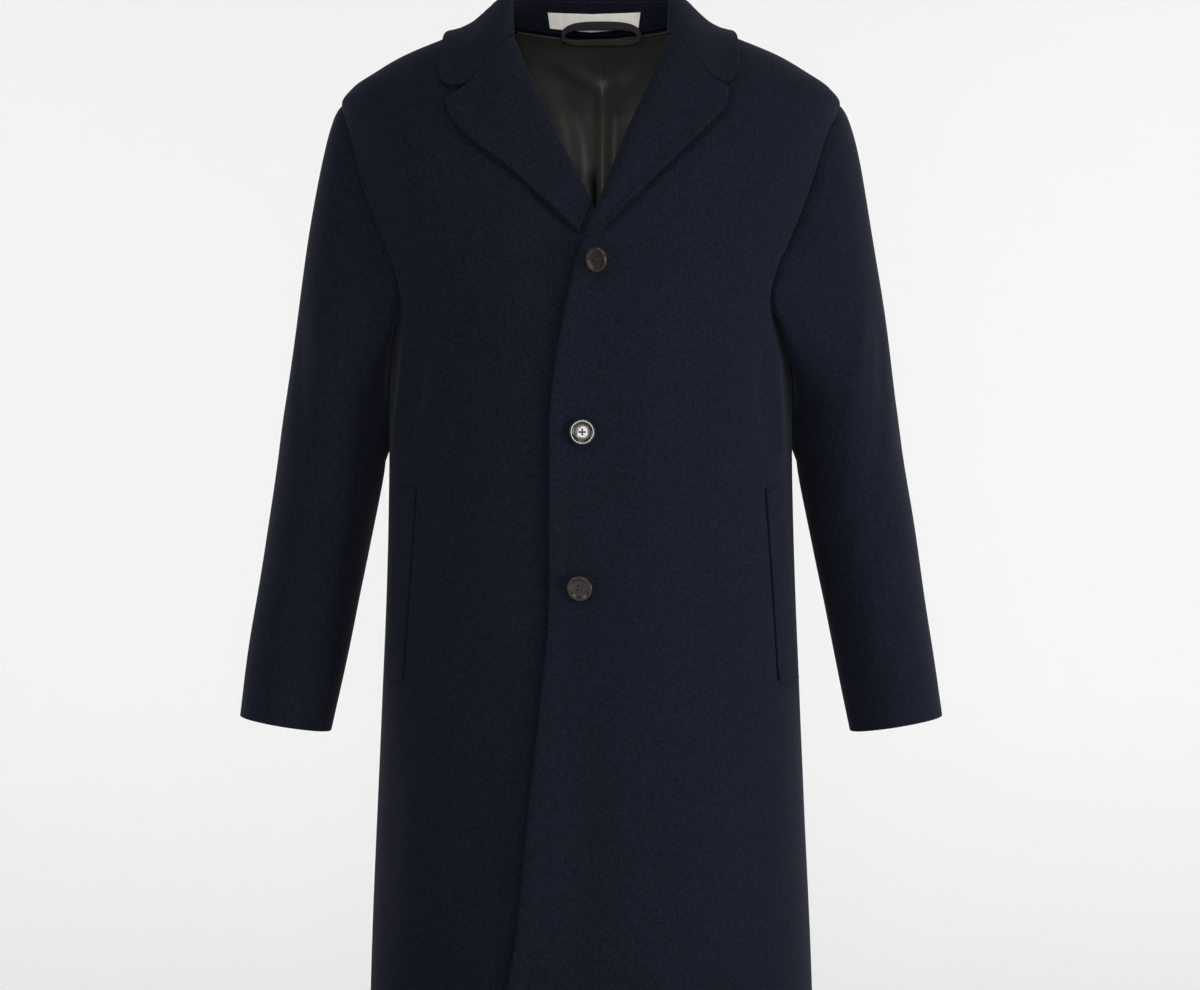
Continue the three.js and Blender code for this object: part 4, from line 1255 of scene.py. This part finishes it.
@dataclass
class BackNeck:
    """Lining, label and hanger loop inside the back neck."""

    gap: float = 3.0
    seam_gap: float = 2.7
    thickness: float = 1.0
    bottom_z: float = -300.0
    half_angle: float = 63.0
    pleat_x: float = 12.0
    pleat_depth: float = 5.5
    loop_left: float = -30.0
    loop_right: float = 51.0
    loop_z: float = -18.0
    loop_rise: float = 13.0
    loop_sag: float = 7.0
    loop_in: float = 13.4  # how far inside the form the tape hangs
    label_x: Pair = (-43.0, 49.0)
    label_z: Pair = (-13.0, 4.0)
    stand_half: float = 112.0  # half the stand's length
    stand_height: float = 44.0
    folds: tuple[Fold, ...] = (
        Fold(((-46, -34), (-18, -48), (8, -66)), 9, 2.6),
        Fold(((-56, -60), (-30, -100), (-16, -160)), 11, 2.0),
        Fold(((-30, -70), (-12, -110), (-8, -180)), 9, -2.0),
        Fold(((60, -40), (36, -60), (22, -92)), 10, 2.2),
        Fold(((58, -70), (42, -110), (30, -160)), 10, 2.0),
        Fold(((34, -80), (26, -120), (24, -180)), 7, -2.0),
    )

    def make_lining(self) -> bpy.types.Object:
        """The back lining, with a pleat for ease below the label."""
        across = spaced(300, 2.6)
        up = spaced(285, 4.0)
        bearing = 90 - 0.46 * self.pleat_x + (across * 2 - 1)[None] * self.half_angle
        bearing = bearing + 0 * up[:, None]
        top = neck_z(np.minimum(bearing, 180 - bearing)) + 1
        p = FORM.bearing(bearing, lerp(self.bottom_z, top, up[:, None]))
        below = 1 - smoothstep(p[..., 2], -72, -52)
        ridge = self.pleat_depth * np.exp(-((p[..., 0] - self.pleat_x) / 6.6) ** 2) * below
        tuck = -2.4 * np.exp(-((p[..., 0] - self.pleat_x - 12) / 4.0) ** 2) * below
        seam = -0.7 * np.exp(-((p[..., 0] - self.pleat_x - 1.5) / 1.0) ** 2) * (1 - below)
        ease = np.maximum(ridge + tuck + seam + folded(p, self.folds, Face.BACK)
                          * (1 - smoothstep(up, 0.93, 1))[:, None], -2.2)
        away = lerp(self.gap, self.seam_gap, smoothstep(up, 0.9, 1))[:, None] + ease
        layers = [FORM.at(p, -WALL - away - depth) for depth in (0.0, self.thickness)]
        piece = shell("lining_back_cloth", *rounded(drawn_in(layers[0]), drawn_in(layers[1]),
                                                    (0.6, 0.5, 0.6, 0.6)))
        WARDROBE.dress(piece, SATIN, "satin", "lining_back")
        return piece

    def make_pleat_stitches(self) -> bpy.types.Object:
        """Stitches that close the top of the pleat."""
        z = np.linspace(-33, -66, 40)
        line = FORM.at(FORM.straight(np.full(40, self.pleat_x + 1.5), z, Face.BACK),
                       np.full(40, -WALL - self.gap - self.thickness - 0.1))
        piece = stitch_rows("pleat_stitches", [line], 1.8, 0.8, 0.25)
        return WARDROBE.dress(piece, THREAD, "satin")

    def make_label(self, collar: Collar) -> bpy.types.Object:
        """The bare woven label on the stand."""
        (left, right), (low, high) = self.label_x, self.label_z
        x, up = np.meshgrid(lerp(left, right, spaced(right - left, 2.0)),
                            spaced(high - low, 1.5))
        height = lerp(low, high, up) / self.stand_height + 0.41
        bow = 0.5 * np.sin(np.pi * (x - left) / (right - left)) ** 2
        layers = [collar.stand_points(x / self.stand_half, height, WALL + 1.1 + depth + bow)
                  for depth in (0.0, 0.7)]
        piece = shell("neck_label_cloth", *rounded(*layers, (0.5, 0.5, 0.5, 0.5)))
        WARDROBE.dress(piece, LABEL_CLOTH, "woven_label", "neck_label")
        return piece

    def make_loop(self) -> bpy.types.Object:
        """The hanger loop: an arch of tape, and the tape below it that it springs from."""
        steps = 120
        turn = np.linspace(0, 2 * np.pi, steps, endpoint=False)
        c, s = np.cos(turn), np.sin(turn)
        half = (self.loop_right - self.loop_left) / 2
        x = (self.loop_left + self.loop_right) / 2 + half * c
        high = np.where(s > 0, self.loop_rise, self.loop_sag)
        y = FORM.bearing(90 - 0.66 * x, self.loop_z + 0 * x)[:, 1] - self.loop_in - 1.2 * np.abs(s)
        middle = np.stack([x, y, self.loop_z + high * s + 1.2 * np.sin(3 * turn)], -1)
        normal = unit(np.stack([high * c, 0 * c, half * s], -1))
        reach = 1.6 + np.where(s > 0, 3.2, 2.2) * np.abs(s) ** 0.7
        edge = np.linspace(0, 2 * np.pi, 16, endpoint=False)
        wide = np.sign(np.cos(edge)) * np.abs(np.cos(edge)) ** 0.7
        deep = np.sign(np.sin(edge)) * np.abs(np.sin(edge)) ** 0.7
        rings = (middle[:, None] + normal[:, None] * (wide[None] * reach[:, None])[..., None]
                 + np.array([0, 1.0, 0]) * (deep[None, :, None] * 0.9))
        piece = tube("hanger_loop_tape", rings, closed=True)
        WARDROBE.dress(piece, TAPE, "satin", "hanger_loop")
        return piece

    def make_tacks(self) -> bpy.types.Object:
        """Bar tacks that hold the loop's two ends."""
        lines = []
        for x in (self.loop_left + 1.5, self.loop_right - 1.5):
            y = float(FORM.bearing(90 - 0.66 * x, self.loop_z)[1]) - 15.2
            for k in range(5):
                z = self.loop_z - 4 + 2 * k
                lines.append(np.array([(x - 3, y, z), (x + 3.2, y, z + 0.5)]))
        piece = stitch_rows("loop_tacks", lines, 4.2, 0.4, 0.75)
        return WARDROBE.dress(piece, THREAD, "satin")

    def make(self, collar: Collar) -> list[bpy.types.Object]:
        """All that shows inside the back neck."""
        return [self.make_lining(), self.make_pleat_stitches(), self.make_label(collar),
                self.make_loop(), self.make_tacks()]


# ---------------------------------------------------------------- pockets and buttons


@dataclass
class Welt:
    """A slanted pocket welt, sewn along its front edge."""

    side: Side
    top: Triple = (175, -491, 19)  # x, z and width
    bottom: Triple = (187, -684, 21)
    gape: float = 0.0  # how far its bottom end stands open

    def make(self) -> list[bpy.types.Object]:
        """The welt."""
        u = spaced(20, 2.5)[None, :]
        v = spaced(193, 4.0)[:, None]
        x = lerp(self.bottom[0], self.top[0], v) + u * lerp(self.bottom[2], self.top[2], v)
        z = lerp(self.bottom[1], self.top[1], v) + 0 * u
        base = FORM.straight(self.side.value * x, z)
        ease = folded(base, FRONT_FOLDS, Face.FRONT) + slack(base, FRONT_SEED, PANEL_SLACK)
        stand = 0.5 * np.sin(np.pi * np.clip(v, 0, 1)) * u + self.gape * (
            1 - smoothstep(v, 0, 0.07)) * (0.5 + 0.5 * np.sin(np.pi * u))
        layers = [FORM.at(base, ease + 0.2 + stand + lift) for lift in (WALL, 0.0)]
        name = f"pocket_welt_{self.side.label}"
        piece = shell(f"{name}_cloth", *rounded(*layers, (EDGE_ROUND, EDGE_ROUND, 2.4, 2.0)))
        WARDROBE.dress(piece, MELTON, "melton", name)
        return [piece]


@dataclass
class Button:
    """A four-hole horn button with its thread."""

    name: str
    x: float
    z: float
    turn: tuple[float, float, float]  # degrees about X, about Z, and about its own axis
    diameter: float = 25.4
    thickness: float = 4.2
    rim: float = 3.0
    dish: float = 1.1
    shank: float = 2.5
    hole: float = 2.2

    def body(self) -> bpy.types.Object:
        """The button, face up at the origin, its back at height 0."""
        bpy.ops.object.select_all(action="DESELECT")
        bpy.ops.mesh.primitive_cylinder_add(
            vertices=72, radius=self.diameter / 2 * MM, depth=self.thickness * MM,
            location=(0, 0, self.thickness / 2 * MM))
        piece = bpy.context.object
        piece.name = piece.data.name = f"button_{self.name}_horn"
        bpy.ops.object.transform_apply(location=True)
        self.select(piece, lambda f: f.normal.z > 0.5)
        bpy.ops.object.mode_set(mode="EDIT")
        bpy.ops.mesh.inset(thickness=self.rim * MM, depth=0)
        bpy.ops.mesh.inset(thickness=1.2 * MM, depth=-self.dish * MM)
        bpy.ops.object.mode_set(mode="OBJECT")
        self.apply(piece, "BEVEL", width=0.8 * MM, segments=4, limit_method="ANGLE",
                   angle_limit=math.radians(20))
        for dx, dy in ((1, 0), (0, 1), (-1, 0), (0, -1)):
            bpy.ops.mesh.primitive_cylinder_add(
                vertices=20, radius=self.hole / 2 * MM, depth=4 * self.thickness * MM,
                location=(dx * self.shank * MM, dy * self.shank * MM, self.thickness * MM / 2))
            cutter = bpy.context.object
            self.apply(piece, "BOOLEAN", object=cutter, operation="DIFFERENCE",
                       solver="EXACT")
            bpy.data.objects.remove(cutter)
        bpy.ops.object.select_all(action="DESELECT")
        piece.select_set(True)
        bpy.context.view_layer.objects.active = piece
        bpy.ops.object.shade_smooth_by_angle(angle=math.radians(40))
        return piece

    @staticmethod
    def select(piece: bpy.types.Object,
               wanted: Callable[[bpy.types.MeshPolygon], bool]) -> None:
        """Select only the faces of a mesh that a test picks."""
        for f in piece.data.polygons:
            f.select = wanted(f)
        for e in piece.data.edges:
            e.select = False
        for p in piece.data.vertices:
            p.select = False
        for f in piece.data.polygons:
            if f.select:
                for k in f.vertices:
                    piece.data.vertices[k].select = True

    @staticmethod
    def apply(piece: bpy.types.Object, kind: str, **settings: object) -> None:
        """Add a modifier to a piece and apply it."""
        bpy.context.view_layer.objects.active = piece
        made = piece.modifiers.new(kind, kind)
        for key, value in settings.items():
            setattr(made, key, value)
        bpy.ops.object.modifier_apply(modifier=made.name)

    def thread(self) -> bpy.types.Object:
        """Thread through the four holes, crossed on the face, and the shank behind."""
        top = self.thickness - self.dish
        lines = []
        for way in (np.array([1.0, 0, 0]), np.array([0, 1.0, 0])):
            side = np.array([-way[1], way[0], 0])
            for offset in (-0.45, 0.0, 0.45):
                s = np.linspace(-1, 1, 9)
                lift = top + 0.15 + 0.45 * (1 - s ** 2) - 1.6 * np.clip(np.abs(s) - 0.8, 0, 1)
                lines.append(way * (s * (self.shank + 0.5))[:, None] + side * offset
                             + np.array([0, 0, 1]) * lift[:, None])
        rods = [tube(f"button_{self.name}_thread", thread_rings(line, 0.34), closed=False)
                for line in lines]
        for angle in (0.6, 2.7, 4.8):
            s = np.linspace(-3.4, 0.6, 5)
            line = np.stack([0.9 * math.cos(angle) + 0 * s, 0.9 * math.sin(angle) + 0 * s, s], -1)
            rods.append(tube(f"button_{self.name}_thread", thread_rings(line, 0.8),
                             closed=False))
        bpy.ops.object.select_all(action="DESELECT")
        for rod in rods:
            rod.select_set(True)
        bpy.context.view_layer.objects.active = rods[0]
        bpy.ops.object.join()
        return rods[0]

    def make(self) -> list[bpy.types.Object]:
        """The button and its thread, in place on the left front."""
        base = FORM.straight(self.x, self.z)
        normal = FORM.outward(base)[0]
        about_x, about_z, own = (math.radians(a) for a in self.turn)
        lift = LAP + 1.2 + self.diameter / 2 * 0.8 * math.sin(max(abs(about_x), abs(about_z)))
        spot = FORM.at(base[None], np.array([lift]))[0]
        facing = Vector((0, 0, 1)).rotation_difference(Vector(normal)).to_matrix().to_4x4()
        if self.name == "middle":
            facing = Matrix.Rotation(math.radians(90), 4, "X")
        placed = (Matrix.Translation(Vector(spot) * MM) @ Matrix.Rotation(about_z, 4, "Z")
                  @ Matrix.Rotation(about_x, 4, "X") @ facing @ Matrix.Rotation(own, 4, "Z"))
        body, thread = self.body(), self.thread()
        for piece in (body, thread):
            piece.data.transform(placed)
            piece.matrix_world = Matrix.Identity(4)
        WARDROBE.dress(body, HORN, "horn", f"button_{self.name}")
        WARDROBE.dress(thread, THREAD, "satin")
        return [body, thread]


def thread_rings(line: Array, radius: float) -> Array:
    """Rings of a round thread along a line, thinner at its two ends."""
    way = unit(np.gradient(line, axis=0))
    side = unit(np.cross(way, np.array([0.31, 0.42, 0.85])))
    other = np.cross(way, side)
    turn = np.arange(10) * np.pi / 5
    size = np.full(len(line), radius)
    size[[0, -1]] *= 0.5
    return line[:, None] + size[:, None, None] * (
        np.cos(turn)[None, :, None] * side[:, None] + np.sin(turn)[None, :, None] * other[:, None])


# ---------------------------------------------------------------- studio


@dataclass
class Studio:
    """Camera, lights and a pale sweep behind the coat."""

    camera_at: tuple[float, float, float] = (0.00927, -3.433, -0.4975)
    lens: float = 100.0
    sensor: float = 36.0
    world: float = 0.3
    depth: float = 4.2  # how far behind the coat the sweep rises
    bend: float = 0.7  # radius of the sweep's curve
    top: float = 4.2
    near: float = -4.5
    half_width: float = 5.0
    flag_at: Triple = (0.34, 0.26, -1.10)  # half-sizes and height of the flag

    @staticmethod
    def board(name: str, points: Sequence[Triple], faces: Sequence[tuple[int, ...]],
              material: str, looks: dict[str, object]) -> bpy.types.Object:
        """A sheet of the studio in a plain material.

        Args:
            name: the object's name.
            points: its points in metres.
            faces: point numbers of each face.
            material: the material's name.
            looks: values of the material's sockets.

        Returns:
            The new object, linked to the scene.
        """
        mesh = bpy.data.meshes.new(name)
        mesh.from_pydata(points, [], faces)
        made = bpy.data.objects.new(name, mesh)
        bpy.context.scene.collection.objects.link(made)
        plain = bpy.data.materials.new(material)
        plain.use_nodes = True
        for key, value in looks.items():
            plain.node_tree.nodes["Principled BSDF"].inputs[key].default_value = value
        mesh.materials.append(plain)
        return made

    def sweep(self) -> bpy.types.Object:
        """Floor and wall in one curve."""
        floor, start = BACKDROP_Z * MM, self.depth - self.bend
        profile = [(self.near, floor), (start, floor)]
        profile += [(start + self.bend * math.sin(a), floor + self.bend - self.bend * math.cos(a))
                    for a in np.linspace(0, math.pi / 2, 16)[1:]]
        profile.append((self.depth, self.top))
        points = [(x, y, z) for y, z in profile for x in (-self.half_width, self.half_width)]
        faces = [(2 * k, 2 * k + 1, 2 * k + 3, 2 * k + 2) for k in range(len(profile) - 1)]
        made = self.board("studio_sweep", points, faces, "studio_paper", {
            "Base Color": srgb("#f4f4f4"), "Roughness": 1.0, "Specular IOR Level": 0.0,
            "Emission Color": srgb("#ffffff"), "Emission Strength": 0.04})
        made.data.polygons.foreach_set("use_smooth", [True] * len(faces))
        return made

    def flag(self) -> bpy.types.Object:
        """A black board under the hem, out of sight, that keeps floor light out of the coat."""
        x, y, z = self.flag_at
        made = self.board("studio_flag", [(-x, -y, z), (x, -y, z), (x, y, z), (-x, y, z)],
                          [(0, 1, 2, 3)], "black_felt",
                          {"Base Color": srgb("#0a0a0a"), "Specular IOR Level": 0.0})
        made.visible_camera = False
        return made

    @staticmethod
    def light(name: str, at: tuple[float, float, float], aim: tuple[float, float, float],
              size: tuple[float, float], watts: float) -> None:
        """An area light aimed at a point."""
        lamp = bpy.data.lights.new(name, "AREA")
        lamp.shape = "RECTANGLE"
        lamp.size, lamp.size_y = size
        lamp.energy = watts
        made = bpy.data.objects.new(name, lamp)
        made.location = at
        made.rotation_euler = (Vector(aim) - Vector(at)).to_track_quat("-Z", "Y").to_euler()
        made.visible_camera = False
        bpy.context.scene.collection.objects.link(made)

    def make(self) -> None:
        """Set the camera, the lights and the sweep."""
        scene = bpy.context.scene
        camera = bpy.data.cameras.new("camera")
        camera.lens, camera.sensor_width = self.lens, self.sensor
        holder = bpy.data.objects.new("camera", camera)
        holder.location = self.camera_at
        holder.rotation_euler = (math.radians(90), 0, 0)
        scene.collection.objects.link(holder)
        scene.camera = holder
        world = bpy.data.worlds.new("studio")
        world.use_nodes = True
        world.node_tree.nodes["Background"].inputs["Strength"].default_value = self.world
        world.node_tree.nodes["Background"].inputs["Color"].default_value = (1, 1, 1, 1)
        scene.world = world
        scene.view_settings.view_transform = "Standard"
        middle = (0.0, 0.0, -0.5)
        self.light("front_box", (-0.027, -3.75, -0.368), (-0.008, 0, -0.4356), (0.42, 0.42), 21)
        self.light("top_box", (0.4, -2.2, 2.0), (0, 0, -0.4), (1.6, 1.0), 34)
        self.light("right_box", (2.8, -1.3, -0.65), middle, (1.2, 1.8), 78)
        self.light("left_box", (-2.6, -1.9, 0.3), middle, (1.4, 2.2), 26)
        self.light("wall_box_left", (-2.9, 1.6, 0.6), (0, self.depth, -0.5), (1.0, 2.4), 26.5)
        self.light("wall_box_right", (2.9, 1.6, 0.6), (0, self.depth, -0.5), (1.0, 2.4), 26.5)
        self.sweep()
        self.flag()


LEFT_LAPEL = Lapel(
    Side.LEFT,
    roll=((-6.5, -243), (7, -207.5), (35.5, -134.5), (63.5, -71), (77, -34)),
    outer=((7, -240.5), (27, -218.5), (73, -171), (117, -127.5), (134, -107.5), (136.5, -90)),
    gorge=((77, -34), (90, -43.5), (106, -62.5), (123, -82), (136.5, -90)))
RIGHT_LAPEL = Lapel(
    Side.RIGHT,
    roll=((1, -206), (-18, -167), (-38, -128), (-64.5, -68), (-77, -34)),
    outer=((-10.5, -238), (-38.5, -211.5), (-85, -169), (-119, -143), (-140, -119),
           (-145, -103)),
    gorge=((-77, -34), (-90, -47), (-107, -66.5), (-124, -86.5), (-145, -103)))
BUTTONS = (Button("top", 7, -267, (14, -40, 8)), Button("middle", -8.2, -435.6, (0, 0, 0)),
           Button("bottom", -10, -588.7, (15, -13, 30)))


def main() -> None:
    """Build the coat and its studio."""
    logging.basicConfig(level=logging.INFO, format="%(name)s %(message)s", stream=sys.stdout)
    Studio().make()
    BodyPanels().make()
    for side in Side:
        Sleeve(side).make()
        Welt(side, gape=3.2 if side is Side.LEFT else 0.6).make()
    LEFT_LAPEL.make()
    RIGHT_LAPEL.make()
    collar = Collar()
    collar.make()
    BackNeck().make(collar)
    for button in BUTTONS:
        button.make()


if __name__ == "__main__":
    main()
